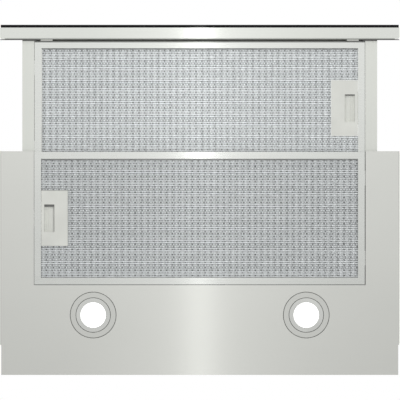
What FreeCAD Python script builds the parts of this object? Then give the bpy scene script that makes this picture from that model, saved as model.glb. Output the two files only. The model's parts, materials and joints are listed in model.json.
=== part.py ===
import FreeCAD, Part
import math
import os
import Sketcher

# Telescopic range hood for a 600 mm wide kitchen cabinet.
# A shallow tray hangs under the cabinet, a casing with the blower stands up inside it,
# and a drawer with a second grease filter pulls out to the front. The drawer is drawn pulled out.
# X runs to the right, Y to the wall and Z up. The origin is the centre of the four cabinet screws,
# on top of the deck that meets the cabinet's underside.

sizes = {
    # tray under the cabinet
    "tray_width": 598,
    "tray_depth": 290,
    "tray_height": 41,
    "sheet": 1.0,  # gauge of the folded steel
    "bend_radius": 2.0,
    "tray_lip": 10,  # folded in at the top of the side walls
    "front_lip": 7.5,  # folded up at the front ends of the two arms
    "side_margin": 51.6,  # tray's side to the filter
    "rear_band": 89.6,  # tray's back to the filter opening
    "apron_depth": 45,  # flat strip that covers the gap to the wall
    "apron_inset": 1.8,
    "apron_lip": 11,
    "opening_flange": 8.0,  # folded up round the filter opening
    "deck_drop": 7,  # front fold of the deck
    "screw_margin_x": 59,
    "screw_margin_y": 14,
    "screw_hole": 2.75,
    # casing above the deck
    "casing_margin_x": 36,
    "casing_margin_y": 29,
    "casing_height": 162,
    "casing_flange": 8,
    "casing_slit": 0.5,
    "casing_corner": 6,
    # duct collar and its two flaps
    "collar_radius": 75,
    "collar_wall": 2,
    "collar_height": 40,
    "collar_flange": 15,
    "collar_flange_gauge": 2,
    "collar_ledge": 3.5,
    "collar_ledge_height": 4,
    "axle_radius": 1.5,
    "axle_play": 0.06,
    "axle_rise": 4,  # axle centre above the ledge
    "knuckle_wall": 1.7,
    "knuckle_length": 53,
    "knuckle_gap": 1.0,
    "flap_gauge": 1.5,
    "flap_play": 0.3,
    "flap_rim_play": 2.2,
    # blower
    "wheel_radius": 56,
    "wheel_half": 44,
    "wheel_disc": 2,
    "wheel_ring": 1.6,
    "blade_depth": 10,
    "blade_gauge": 1.2,
    "blade_count": 24,
    "blade_lean": 14,  # degrees from the inner edge to the outer edge
    "hub_radius": 11,
    "hub_length": 18,
    "shaft_radius": 4,
    "volute_play": 5,
    "volute_step": 7,
    "shell_wall": 2,
    "shell_play": 6,  # wheel to the side wall
    "shell_clear": 3,  # scroll to the casing's front wall
    "outlet_shift": 42,  # wheel axle to the middle of the outlet
    "inlet_radius": 44,
    "tongue_offset": 25,
    "motor_half": 30,
    "motor_chamfer": 10,
    "motor_length": 60,
    "motor_play": 3,
    "arm_width": 14,
    "arm_gauge": 2.5,
    "arm_reach": 62,
    "grommet_radius": 8,
    "grommet_height": 4,
    # electrical pieces in the casing
    "capacitor_radius": 15,
    "capacitor_length": 62,
    "capacitor_margin": 93,
    "capacitor_z": 70,
    "clip_gauge": 1.2,
    "box_length": 120,
    "box_width": 84,
    "box_height": 32,
    "box_wall": 2.2,
    "box_margin_x": 27,
    "box_margin_y": 34,
    "cover_gauge": 2.0,
    "gland_radius": 9,
    "gland_bore": 4,
    "gland_head": 13,
    "gland_head_height": 7,
    "gland_tail": 9,
    "gland_inset": 24,  # from the control box's end
    "gland_margin": 18,
    # grease filters, two alike
    "filter_height": 9,
    "filter_gauge": 0.8,
    "filter_border": 10.2,
    "filter_back_border": 8,
    "filter_gap": 0.8,
    "filter_setback": 1.0,
    "level_gap": 1.0,  # rear filter's back to the drawer's underside
    "net_gauge": 1.0,
    "net_pitch_x": 56,
    "net_pitch_y": 36,
    "net_strand": 4.5,
    "core_height": 1.0,
    "core_gap": 2.6,
    "tab_reach": 4,
    "tab_width": 22,
    "tab_span": 120,
    "tab_gauge": 1.5,
    "tab_bead": 1.0,  # radius of the rolled bead that the filter tilts on
    "seat_play": 0.3,
    "rear_play": 0.3,  # how far the rear filter sits towards its latch
    "slot_play": 1.0,
    "slot_height": 5.2,
    # filter latches
    "latch_width": 40,
    "latch_length": 83,
    "latch_gauge": 1.0,
    "latch_wall": 1.2,
    "latch_shoulder": 4,
    "pocket_width": 15,
    "pocket_length": 41,
    "pocket_inset": 4.5,
    "pocket_depth": 3.0,
    "slider_gauge": 1.8,
    "slider_play": 0.35,
    "latch_travel": 5,
    "latch_spring_room": 0.6,
    "tongue_width": 22,
    "tongue_reach": 4,
    "tongue_root": 4.6,
    "rib_width": 1.4,
    "rib_height": 0.9,
    "rib_pitch": 3.2,
    "leaf_gauge": 0.4,
    "leaf_span": 26,
    # drawer
    "drawer_overlap": 33.6,  # depth of the front filter that stays above the rear one
    "rail_width": 18,
    "rail_height": 22,
    "rail_gap": 0.5,
    "rail_lip": 3,  # how far the rail's top lip covers the edge of the filter
    "rear_bar_depth": 8,
    "rear_bar_height": 15,
    "rear_bar_gap": 0.5,
    "front_angle_height": 17,
    "front_angle_depth": 12,
    "front_angle_rise": 2,
    # front bar with its glass
    "bar_depth": 17.5,
    "bar_gap": 3.5,
    "bar_wall": 1.6,
    "bar_round": 2.0,
    "cap_gauge": 7.0,
    "cap_corner": 4.0,
    "cap_plug": 8,
    "cap_play": 0.2,
    "glass_gauge": 4.2,
    "glass_inset": 1.0,
    "buffer_width": 18,
    "buffer_height": 6,
    "buffer_reach": 2.2,
    "buffer_inset": 18,
    "buffer_rise": 4,
    # push keys in the glass
    "key_margin": 77,  # bar's end to the middle of the keys
    "key_width": 16,
    "key_height": 10,
    "key_pitch": 19,
    "key_play": 0.35,
    "key_flange": 1.2,
    "key_flange_gauge": 1.4,
    "key_stem": 3,
    "key_stroke": 1.5,
    "board_gauge": 1.6,
    "board_margin": 5,
    "switch_width": 6,
    "switch_height": 3.2,
    # runners
    "runner_height": 18,
    "runner_depth": 13,
    "runner_gauge": 1.2,
    "runner_lip": 2.2,
    "runner_drop": 8,  # deck top to the channel's top
    "runner_margin": 3,
    "slide_height": 10,
    "slide_depth": 7,
    "slide_tail": 113,  # part of the slide that stays in the channel
    "glide_length": 24,
    "glide_play": 0.3,
    "bracket_gauge": 2.0,
    "bracket_foot": 6.5,
    "bracket_margin": 30,
    # lamps
    "lamp_margin_x": 139.5,
    "lamp_margin_y": 44.7,
    "lamp_ring_radius": 34.7,
    "lamp_ring_gauge": 1.2,
    "lamp_inner_radius": 25.6,
    "lamp_lap": 2.0,  # ring beyond its hole
    "lamp_neck_height": 7,
    "lamp_hole_play": 0.4,
    "lens_radius": 19.6,
    "lens_gauge": 2.2,
    "lens_play": 0.15,
    "lamp_can_height": 15,
}


class Size:
    # a number together with the sheet expression that gives it

    def __init__(self, value, text):
        self.value = float(value)
        self.text = text

    def __float__(self):
        return self.value

    def __add__(self, other):
        other = sized(other)
        return Size(self.value + other.value, f"({self.text} + {other.text})")

    def __sub__(self, other):
        other = sized(other)
        return Size(self.value - other.value, f"({self.text} - {other.text})")

    def __mul__(self, other):
        other = sized(other)
        return Size(self.value * other.value, f"({self.text} * {other.text})")

    def __truediv__(self, other):
        other = sized(other)
        return Size(self.value / other.value, f"({self.text} / {other.text})")

    def __neg__(self):
        return Size(-self.value, f"(0 - {self.text})")


def sized(number):
    if isinstance(number, Size):
        return number
    return Size(number, f"({float(number):.9f})")


class Values:
    # holds one Size for each cell of the sheet
    pass


doc = FreeCAD.newDocument("telescopic_hood")
sheet = doc.addObject("Spreadsheet::Sheet", "Sizes")
d = Values()
for row, (alias, number) in enumerate(sizes.items(), start=1):
    sheet.set(f"A{row}", alias)
    sheet.set(f"B{row}", str(number))
    sheet.setAlias(f"B{row}", alias)
    setattr(d, alias, Size(number, f"Sizes.{alias}"))
doc.recompute()

nodes = []


def bind(obj, prop, size):
    obj.setExpression(prop, sized(size).text)


def place(obj, x, y, z, turn=0):
    obj.Placement = FreeCAD.Placement(
        FreeCAD.Vector(float(x), float(y), float(z)), FreeCAD.Rotation(FreeCAD.Vector(0, 0, 1), turn)
    )
    bind(obj, "Placement.Base.x", x)
    bind(obj, "Placement.Base.y", y)
    bind(obj, "Placement.Base.z", z)
    return obj


def node(obj, label):
    obj.Label = label
    nodes.append(obj)
    return obj


def block(name, x, y, z):
    # x, y and z are pairs of a low and a high value
    obj = doc.addObject("Part::Box", name)
    for side, axis, (low, high) in zip(("Length", "Width", "Height"), "xyz", (x, y, z)):
        bind(obj, side, sized(high) - low)
        bind(obj, f"Placement.Base.{axis}", low)
    return obj


def round_bar(name, radius, x, y, z):
    # a cylinder along X between the pair x, with its axis at y and z
    obj = doc.addObject("Part::Cylinder", name)
    low, high = x
    obj.Placement.Rotation = FreeCAD.Rotation(FreeCAD.Vector(0, 1, 0), 90)
    bind(obj, "Radius", radius)
    bind(obj, "Height", sized(high) - low)
    bind(obj, "Placement.Base.x", low)
    bind(obj, "Placement.Base.y", y)
    bind(obj, "Placement.Base.z", z)
    return obj


def cross_bar(name, radius, x, y, z):
    # a cylinder along Y between the pair y
    obj = doc.addObject("Part::Cylinder", name)
    low, high = y
    obj.Placement.Rotation = FreeCAD.Rotation(FreeCAD.Vector(1, 0, 0), -90)
    bind(obj, "Radius", radius)
    bind(obj, "Height", sized(high) - low)
    bind(obj, "Placement.Base.x", x)
    bind(obj, "Placement.Base.y", low)
    bind(obj, "Placement.Base.z", z)
    return obj


def disc(name, radius, x, y, z):
    # a cylinder along Z between the pair z
    obj = doc.addObject("Part::Cylinder", name)
    low, high = z
    bind(obj, "Radius", radius)
    bind(obj, "Height", sized(high) - low)
    bind(obj, "Placement.Base.x", x)
    bind(obj, "Placement.Base.y", y)
    bind(obj, "Placement.Base.z", low)
    return obj


def fuse(name, *pieces):
    obj = doc.addObject("Part::MultiFuse", name)
    obj.Shapes = list(pieces)
    obj.Refine = True
    return obj


def cut(name, base, *tools):
    obj = doc.addObject("Part::Cut", name)
    obj.Base = base
    obj.Tool = tools[0] if len(tools) == 1 else fuse(f"{name}_tools", *tools)
    obj.Refine = True
    return obj


def group(name, *pieces):
    obj = doc.addObject("Part::Compound", name)
    obj.Links = list(pieces)
    return obj


def new_body(label):
    return node(doc.addObject("PartDesign::Body", label), label)


def new_sketch(body, role, offset=0):
    # offset moves the sketch along its plane's normal: +Z for XY, -Y for XZ and +X for YZ
    sketch = body.newObject("Sketcher::SketchObject", f"{body.Name}_sketch")
    plane = [f for f in body.Origin.OriginFeatures if f.Role == role][0]
    sketch.AttachmentSupport = [(plane, "")]
    sketch.MapMode = "FlatFace"
    bind(sketch, "AttachmentOffset.Base.z", offset)
    return sketch


def fix_point(sketch, geometry, vertex, x, y):
    for kind, size in (("DistanceX", sized(x)), ("DistanceY", sized(y))):
        index = sketch.addConstraint(Sketcher.Constraint(kind, -1, 1, geometry, vertex, size.value))
        sketch.setExpression(f"Constraints[{index}]", size.text)


def polygon(sketch, points):
    first = sketch.GeometryCount
    corners = [FreeCAD.Vector(float(x), float(y), 0) for x, y in points]
    lines = [Part.LineSegment(a, b) for a, b in zip(corners, corners[1:] + corners[:1])]
    sketch.addGeometry(lines, False)
    count = len(points)
    for i in range(count):
        sketch.addConstraint(Sketcher.Constraint("Coincident", first + i, 2, first + (i + 1) % count, 1))
    for i, (x, y) in enumerate(points):
        fix_point(sketch, first + i, 1, x, y)


def rectangle(sketch, x, y):
    polygon(sketch, [(x[0], y[0]), (x[1], y[0]), (x[1], y[1]), (x[0], y[1])])


def circle(sketch, x, y, radius):
    centre = FreeCAD.Vector(float(x), float(y), 0)
    index = sketch.addGeometry(Part.Circle(centre, FreeCAD.Vector(0, 0, 1), float(radius)), False)
    fix_point(sketch, index, 3, x, y)
    size = sized(radius)
    rule = sketch.addConstraint(Sketcher.Constraint("Radius", index, size.value))
    sketch.setExpression(f"Constraints[{rule}]", size.text)


def pad(body, sketch, length):
    feature = body.newObject("PartDesign::Pad", f"{body.Name}_pad")
    feature.Profile = sketch
    bind(feature, "Length", length)
    return feature


def pocket(body, sketch, length):
    # cuts against the sketch plane's normal
    feature = body.newObject("PartDesign::Pocket", f"{body.Name}_pocket")
    feature.Profile = sketch
    bind(feature, "Length", length)
    return feature


def revolve(body, sketch, axis="V_Axis"):
    feature = body.newObject("PartDesign::Revolution", f"{body.Name}_revolution")
    feature.Profile = sketch
    feature.ReferenceAxis = (sketch, [axis])
    feature.Angle = 360
    return feature


def edges_at(shape, along, **at):
    # names of the straight edges along one axis whose middle has the given coordinates
    found = []
    for number, edge in enumerate(shape.Edges, start=1):
        if edge.Curve.TypeId != "Part::GeomLine":
            continue
        run = edge.Vertexes[-1].Point - edge.Vertexes[0].Point
        if abs(getattr(run, along)) < 0.999 * run.Length:
            continue
        middle = edge.CenterOfMass
        if all(abs(getattr(middle, axis) - float(size)) < 0.01 for axis, size in at.items()):
            found.append(f"Edge{number}")
    return found


def fillet(body, radius, *picks):
    # each pick is a pair: the axis that the edge runs along, and the coordinates of its middle
    doc.recompute()
    base = body.Tip
    names = []
    for along, at in picks:
        names += edges_at(base.Shape, along, **at)
    feature = body.newObject("PartDesign::Fillet", f"{body.Name}_fillet")
    feature.Base = (base, names)
    bind(feature, "Radius", radius)
    return feature


def mirrored(values):
    # the points of a half outline, followed by the same points on the other side of the vertical axis
    return values + [(-x, y) for x, y in reversed(values)]


# levels and places that several pieces share
half = d.tray_width / 2
front = -d.tray_depth / 2
rear = d.tray_depth / 2
bottom = -d.tray_height
under_deck = -d.sheet
filter_half_x = half - d.side_margin
opening_rear = rear - d.rear_band
filter_front = front + d.filter_setback
filter_half_y = (opening_rear - d.filter_gap - filter_front) / 2
rear_y = filter_front + filter_half_y
drawer_travel = filter_half_y * 2 - d.drawer_overlap
front_y = rear_y - drawer_travel
drawer_z = bottom + d.filter_height + d.level_gap
opening_half = filter_half_x + d.filter_gap
rail_in = filter_half_x + d.rail_gap
rail_out = rail_in + d.rail_width
web_out = rail_out - d.slide_depth - d.rail_gap  # the slide hides above the rail's flange
rail_top = drawer_z + d.rail_height
bar_back = front_y - filter_half_y - d.bar_gap
bar_front = bar_back - d.bar_depth
glass_front = bar_front - d.glass_gauge
drawer_rear = front_y + filter_half_y + d.rear_bar_gap + d.rear_bar_depth
casing_x = half - d.casing_margin_x
casing_y = rear - d.casing_margin_y
casing_top = d.casing_height
casing_roof = casing_top - d.sheet
lamp_x = half - d.lamp_margin_x
lamp_y = rear - d.lamp_margin_y
lamp_hole = d.lamp_ring_radius - d.lamp_lap
slot_low = bottom + d.sheet
shell_half = d.wheel_half + d.shell_play
scroll_start = d.wheel_radius + d.volute_play + d.shell_wall
wheel_y = d.sheet - casing_y + d.shell_clear + scroll_start + d.volute_step
wheel_z = scroll_start + d.volute_step * 3
collar_y = wheel_y + d.outlet_shift
box_end = casing_x - d.box_margin_x
gland_x = box_end - d.gland_inset
gland_y = casing_y - d.gland_margin



def base_panel():
    # folded underside: C section with the filter opening, lamp holes and the flat apron to the wall
    body = new_body("base_panel")
    section = new_sketch(body, "XZ_Plane", front)
    inner = half - d.sheet
    polygon(
        section,
        mirrored(
            [
                (half, bottom),
                (half, under_deck),
                (half - d.tray_lip, under_deck),
                (half - d.tray_lip, under_deck - d.sheet),
                (inner, under_deck - d.sheet),
                (inner, bottom + d.sheet),
            ]
        ),
    )
    pad(body, section, d.tray_depth)
    fillet(body, d.bend_radius, ("y", dict(x=half, z=bottom)), ("y", dict(x=-half, z=bottom)))

    apron = half - d.apron_inset
    flat = new_sketch(body, "XY_Plane", bottom)
    rectangle(flat, (-apron, apron), (rear - d.sheet, rear + d.apron_depth))
    pad(body, flat, d.sheet)
    hem = new_sketch(body, "XY_Plane", bottom)
    rectangle(hem, (-apron, apron), (rear + d.apron_depth - d.sheet, rear + d.apron_depth))
    pad(body, hem, d.apron_lip)
    back = new_sketch(body, "XY_Plane", bottom + d.sheet / 2)
    mid_wall = half - d.sheet / 2
    rectangle(back, (-mid_wall, mid_wall), (rear - d.sheet, rear))
    pad(body, back, under_deck - bottom - d.sheet)

    outer = opening_half + d.sheet
    rim = new_sketch(body, "XY_Plane", bottom)
    polygon(
        rim,
        mirrored(
            [
                (opening_half, opening_rear),
                (opening_half, front + d.sheet),
                (opening_half, front),
                (outer, front),
                (outer, opening_rear + d.sheet),
            ]
        ),
    )
    pad(body, rim, d.opening_flange)
    for side in (-1, 1):
        lip = new_sketch(body, "XY_Plane", bottom)
        ends = (opening_half * side, (half - d.bend_radius) * side)
        rectangle(lip, ends, (front, front + d.sheet))
        pad(body, lip, d.front_lip)

    window = new_sketch(body, "XY_Plane", bottom + d.sheet * 2)
    rectangle(window, (-opening_half, opening_half), (front - d.sheet, opening_rear))
    pocket(body, window, d.sheet * 3)
    lamps = new_sketch(body, "XY_Plane", bottom + d.sheet * 2)
    for side in (-1, 1):
        circle(lamps, lamp_x * side, lamp_y, lamp_hole)
    pocket(body, lamps, d.sheet * 3)

    # slots that take the filter's two tabs on the right and its latch tongue on the left
    slot_z = (slot_low, slot_low + d.slot_height)
    tabs = new_sketch(body, "YZ_Plane", outer + d.sheet)
    reach = d.tab_width / 2 + d.slot_play
    for side in (-1, 1):
        middle = rear_y + d.tab_span / 2 * side
        rectangle(tabs, (middle - reach, middle + reach), slot_z)
    pocket(body, tabs, d.sheet * 3)
    latch = new_sketch(body, "YZ_Plane", d.sheet - opening_half)
    reach = d.tongue_width / 2 + d.slot_play
    rectangle(latch, (rear_y - reach, rear_y + reach), slot_z)
    pocket(body, latch, d.sheet * 3)


def deck_plate():
    # closes the tray at the top, carries the casing and takes the four cabinet screws
    body = new_body("deck_plate")
    plate = new_sketch(body, "XY_Plane", under_deck)
    rectangle(plate, (-half, half), (front, rear))
    slit_x = casing_x + d.casing_slit
    slit_y = casing_y + d.casing_slit
    rectangle(plate, (-slit_x, slit_x), (-slit_y, slit_y))
    for x in (-1, 1):
        for y in (-1, 1):
            circle(plate, (half - d.screw_margin_x) * x, (rear - d.screw_margin_y) * y, d.screw_hole)
    pad(body, plate, d.sheet)
    fold = new_sketch(body, "XY_Plane", -d.deck_drop)
    rectangle(fold, (-rail_out, rail_out), (front, front + d.sheet))
    pad(body, fold, d.deck_drop - d.sheet / 2)


def upper_casing():
    # deep drawn box that stands in the cabinet, open below, flanged under the deck
    body = new_body("upper_casing")
    low = under_deck - d.sheet
    outside = new_sketch(body, "XY_Plane", low)
    rectangle(outside, (-casing_x, casing_x), (-casing_y, casing_y))
    pad(body, outside, casing_top - low)
    inside = new_sketch(body, "XY_Plane", casing_roof)
    in_x = casing_x - d.sheet
    in_y = casing_y - d.sheet
    rectangle(inside, (-in_x, in_x), (-in_y, in_y))
    pocket(body, inside, casing_roof - low + d.sheet)
    signs = [(i, j) for i in (-1, 1) for j in (-1, 1)]
    fillet(body, d.casing_corner - d.sheet, *[("z", dict(x=in_x * i, y=in_y * j)) for i, j in signs])
    fillet(body, d.casing_corner, *[("z", dict(x=casing_x * i, y=casing_y * j)) for i, j in signs])
    flange = new_sketch(body, "XY_Plane", low)
    wide_x = casing_x + d.casing_flange
    wide_y = casing_y + d.casing_flange
    rectangle(flange, (-wide_x, wide_x), (-wide_y, wide_y))
    hole_x = in_x - d.casing_corner
    hole_y = in_y - d.casing_corner
    rectangle(flange, (-hole_x, hole_x), (-hole_y, hole_y))
    pad(body, flange, d.sheet)
    outlet = new_sketch(body, "XY_Plane", casing_top + d.sheet)
    circle(outlet, 0, collar_y, d.collar_radius - d.collar_wall - d.collar_ledge)
    circle(outlet, gland_x, gland_y, d.gland_radius + d.seat_play)
    pocket(body, outlet, d.sheet * 3)


collar_in = d.collar_radius - d.collar_wall
ledge_in = collar_in - d.collar_ledge
ledge_top = casing_top + d.collar_ledge_height
axle_z = ledge_top + d.axle_rise
knuckle = d.axle_radius + d.axle_play + d.knuckle_wall


def outlet_collar():
    # flanged duct spigot with an inner ledge that the flaps close on
    body = new_body("outlet_collar")
    section = new_sketch(body, "XZ_Plane")
    flange_top = casing_top + d.collar_flange_gauge
    top = casing_top + d.collar_height
    polygon(
        section,
        [
            (ledge_in, casing_top),
            (d.collar_radius + d.collar_flange, casing_top),
            (d.collar_radius + d.collar_flange, flange_top),
            (d.collar_radius, flange_top),
            (d.collar_radius, top),
            (collar_in, top),
            (collar_in, ledge_top),
            (ledge_in, ledge_top),
        ],
    )
    revolve(body, section)
    bore = new_sketch(body, "YZ_Plane", d.collar_radius + d.collar_wall)
    circle(bore, 0, axle_z, d.axle_radius)
    pocket(body, bore, d.collar_radius * 2 + d.collar_wall * 2)
    place(body, 0, collar_y, 0)
    reach = d.collar_radius - d.collar_wall / 4
    node(round_bar("flap_axle", d.axle_radius, (-reach, reach), collar_y, axle_z), "flap_axle")


def flap(label, turn):
    # half round flap on the -Y side; the other one is the same piece turned half round
    low = ledge_top + d.flap_play
    plate = disc(f"{label}_disc", collar_in - d.flap_rim_play, 0, 0, (low, low + d.flap_gauge))
    other = block(
        f"{label}_half",
        (-d.collar_radius, d.collar_radius),
        (-d.axle_radius, d.collar_radius),
        (ledge_top, ledge_top + d.axle_rise),
    )
    near = d.knuckle_gap / 2
    far = near + d.knuckle_length
    own = round_bar(f"{label}_knuckle", knuckle, (-far, -near), 0, axle_z)
    clear = round_bar(f"{label}_room", knuckle + d.flap_play, (0, far + near), 0, axle_z)
    reach = d.collar_radius
    bore = round_bar(f"{label}_bore", d.axle_radius + d.axle_play, (-reach, reach), 0, axle_z)
    leaf = cut(f"{label}_leaf", plate, other, clear)
    piece = cut(f"{label}_piece", fuse(f"{label}_fused", leaf, own), bore)
    node(place(piece, 0, collar_y, 0, turn), label)


def volute(start, grow):
    # closed outline of the scroll in the Y-Z plane, moved outwards by grow: four arcs whose radii
    # step up by the same amount, then the straight outlet up to the casing's roof
    y = float(wheel_y)
    z = float(wheel_z)
    step = float(d.volute_step)
    top = float(casing_roof)
    r0 = start + grow
    r1 = r0 + step
    r2 = r1 + step
    r3 = r2 + step
    throat = float(d.tongue_offset) - grow
    tip = math.sqrt(r0 * r0 - throat * throat)

    def point(a, b):
        return FreeCAD.Vector(0, y + a, z + b)

    def arc(cy, cz, radius, begin, end):
        turns = [math.radians(t) for t in (begin, (begin + end) / 2, end)]
        spots = [point(cy + radius * math.cos(t), cz + radius * math.sin(t)) for t in turns]
        return Part.Arc(*spots).toShape()

    lip = math.degrees(math.atan2(tip, throat))
    rise = top - z
    edges = [
        Part.makeLine(point(throat, rise), point(throat, tip)),
        arc(0, 0, r0, lip, 90),
        arc(0, -step, r1, 90, 180),
        arc(step, -step, r2, 180, 270),
        arc(step, 0, r3, 270, 360),
        Part.makeLine(point(step + r3, 0), point(step + r3, rise)),
        Part.makeLine(point(step + r3, rise), point(throat, rise)),
    ]
    return Part.Face(Part.Wire(edges))


def blower_shell(label, side):
    # one moulded half of the scroll, with its round inlet
    start = float(d.wheel_radius + d.volute_play)
    wall = float(d.shell_wall)
    inside = float(shell_half)
    along = FreeCAD.Vector(side, 0, 0)
    solid = volute(start, wall).extrude(along * (inside + wall))
    solid = solid.cut(volute(start, 0).extrude(along * inside))
    eye = FreeCAD.Vector(0, float(wheel_y), float(wheel_z))
    hole = Part.makeCylinder(float(d.inlet_radius), inside, eye + along * (inside / 2), along)
    shell = doc.addObject("Part::Feature", label)
    shell.Shape = solid.cut(hole).removeSplitter()
    node(shell, label)


def impeller():
    # double inlet wheel: centre disc with a hub, bent blades across both halves, a ring at each end
    body = new_body("impeller")
    inner = d.wheel_radius - d.blade_depth
    lean = float(d.blade_lean)
    thick = math.degrees(float(d.blade_gauge / d.wheel_radius))
    count = int(float(d.blade_count))
    turns = [lean + thick / 2 + 360 / count * i for i in range(count)]

    def spot(radius, degrees):
        turn = math.radians(degrees)
        return (radius * math.cos(turn), radius * math.sin(turn))

    hub = new_sketch(body, "YZ_Plane", -d.wheel_disc / 2)
    circle(hub, 0, 0, d.hub_radius)
    circle(hub, 0, 0, d.shaft_radius)
    pad(body, hub, d.hub_length)
    plate = new_sketch(body, "YZ_Plane", -d.wheel_disc / 2)
    polygon(plate, [spot(d.wheel_radius, t) for t in turns])
    circle(plate, 0, 0, d.hub_radius - d.wheel_ring)
    pad(body, plate, d.wheel_disc)

    rim = d.wheel_radius - d.wheel_ring / 4
    middle = (inner + rim) / 2
    blade = new_sketch(body, "YZ_Plane", -d.wheel_half)
    outline = [spot(inner, 0), spot(middle, lean / 4), spot(rim, lean)]
    outline += [spot(rim, lean + thick), spot(middle, lean / 4 + thick), spot(inner, thick)]
    polygon(blade, outline)
    strip = pad(body, blade, d.wheel_half * 2)
    doc.recompute()
    circle_of_blades = body.newObject("PartDesign::PolarPattern", "blades")
    circle_of_blades.Originals = [strip]
    circle_of_blades.Axis = ([f for f in body.Origin.OriginFeatures if f.Role == "X_Axis"][0], [""])
    circle_of_blades.Angle = 360
    bind(circle_of_blades, "Occurrences", d.blade_count)
    body.Tip = circle_of_blades
    doc.recompute()
    for start in (-d.wheel_half, d.wheel_half - d.wheel_ring):
        ring = new_sketch(body, "YZ_Plane", start)
        polygon(ring, [spot(d.wheel_radius, t) for t in turns])
        polygon(ring, [spot(d.wheel_radius - d.blade_depth / 2, t) for t in turns])
        pad(body, ring, d.wheel_ring)
    place(body, 0, wheel_y, wheel_z)


motor_right = -d.wheel_disc / 2 - d.motor_play
motor_left = motor_right - d.motor_length


def chamfered_square(reach):
    # corners of a square of half width reach whose corners are cut off
    side = reach - d.motor_chamfer
    half_outline = [(side, -reach), (reach, -side), (reach, side), (side, reach)]
    return mirrored(half_outline)


def motor():
    # laminated stack on the wheel's axis, with its shaft, carrier and three rubber mounts
    body = new_body("motor_body")
    section = new_sketch(body, "YZ_Plane", motor_left)
    polygon(section, chamfered_square(d.motor_half))
    circle(section, 0, 0, d.shaft_radius + d.axle_play)
    pad(body, section, d.motor_length)
    place(body, 0, wheel_y, wheel_z)

    shaft_end = d.hub_length - d.wheel_disc / 2
    shaft = round_bar("motor_shaft", d.shaft_radius, (motor_left, shaft_end), wheel_y, wheel_z)
    node(shaft, "motor_shaft")

    carrier = new_body("motor_carrier")
    mount = -shell_half - d.shell_wall - d.grommet_height
    plate = new_sketch(carrier, "YZ_Plane", mount - d.arm_gauge)
    polygon(plate, chamfered_square(d.motor_half + d.arm_width / 2))
    polygon(plate, chamfered_square(d.motor_half + d.seat_play / 3))
    pad(carrier, plate, d.arm_gauge)
    arm = new_sketch(carrier, "YZ_Plane", mount - d.arm_gauge)
    arm_start = d.motor_half + d.arm_width / 2 - d.sheet
    rectangle(arm, (arm_start, d.arm_reach), (-d.arm_width / 2, d.arm_width / 2))
    spoke = pad(carrier, arm, d.arm_gauge)
    doc.recompute()
    spokes = carrier.newObject("PartDesign::PolarPattern", "spokes")
    spokes.Originals = [spoke]
    spokes.Axis = ([f for f in carrier.Origin.OriginFeatures if f.Role == "X_Axis"][0], [""])
    spokes.Angle = 360
    spokes.Occurrences = 3
    carrier.Tip = spokes
    place(carrier, 0, wheel_y, wheel_z)

    feet = []
    reach = d.arm_reach - d.grommet_radius
    for degrees in (0, 120, 240):
        turn = math.radians(degrees)
        y = wheel_y + reach * math.cos(turn)
        z = wheel_z + reach * math.sin(turn)
        feet.append(round_bar("grommet", d.grommet_radius, (mount, mount + d.grommet_height), y, z))
    node(group("motor_grommets", *feet), "motor_grommets")


def electrics():
    # run capacitor in a saddle clip on the back wall, control box under the casing's roof, cord gland
    wall = casing_y - d.sheet
    axis_y = wall - d.clip_gauge - d.capacitor_radius
    middle = d.capacitor_margin - casing_x
    ends = (middle - d.capacitor_length / 2, middle + d.capacitor_length / 2)
    node(round_bar("capacitor", d.capacitor_radius, ends, axis_y, d.capacitor_z), "motor_capacitor")
    grip = (middle - d.capacitor_length / 5, middle + d.capacitor_length / 5)
    reach = d.capacitor_radius + d.clip_gauge
    saddle = block("clip_saddle", grip, (axis_y, wall), (d.capacitor_z - reach, d.capacitor_z + reach))
    room = round_bar("clip_room", d.capacitor_radius, ends, axis_y, d.capacitor_z)
    node(cut("clip", saddle, room), "capacitor_clip")

    body = new_body("control_box")
    box_rear = casing_y - d.box_margin_y
    x = (box_end - d.box_length, box_end)
    y = (box_rear - d.box_width, box_rear)
    outside = new_sketch(body, "XY_Plane", casing_roof - d.box_height)
    rectangle(outside, x, y)
    pad(body, outside, d.box_height)
    inside = new_sketch(body, "XY_Plane", casing_roof - d.box_wall)
    rectangle(inside, (x[0] + d.box_wall, x[1] - d.box_wall), (y[0] + d.box_wall, y[1] - d.box_wall))
    pocket(body, inside, d.box_height)

    lid = new_body("control_box_cover")
    outline = new_sketch(lid, "XY_Plane", casing_roof - d.box_height - d.cover_gauge)
    rectangle(outline, x, y)
    pad(lid, outline, d.cover_gauge)
    tray = new_sketch(lid, "XY_Plane", casing_roof - d.box_height)
    rim = d.box_wall + d.seat_play
    rectangle(tray, (x[0] + rim, x[1] - rim), (y[0] + rim, y[1] - rim))
    pad(lid, tray, d.cover_gauge)

    gland = new_body("cable_gland")
    neck = new_sketch(gland, "XY_Plane", casing_roof - d.gland_tail)
    circle(neck, 0, 0, d.gland_radius)
    circle(neck, 0, 0, d.gland_bore)
    pad(gland, neck, d.gland_tail + d.sheet)
    nut = new_sketch(gland, "XY_Plane", casing_top)
    turns = [math.radians(60 * i) for i in range(6)]
    polygon(nut, [(d.gland_head * math.cos(t), d.gland_head * math.sin(t)) for t in turns])
    circle(nut, 0, 0, d.gland_bore)
    pad(gland, nut, d.gland_head_height)
    place(gland, gland_x, gland_y, 0)


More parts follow.
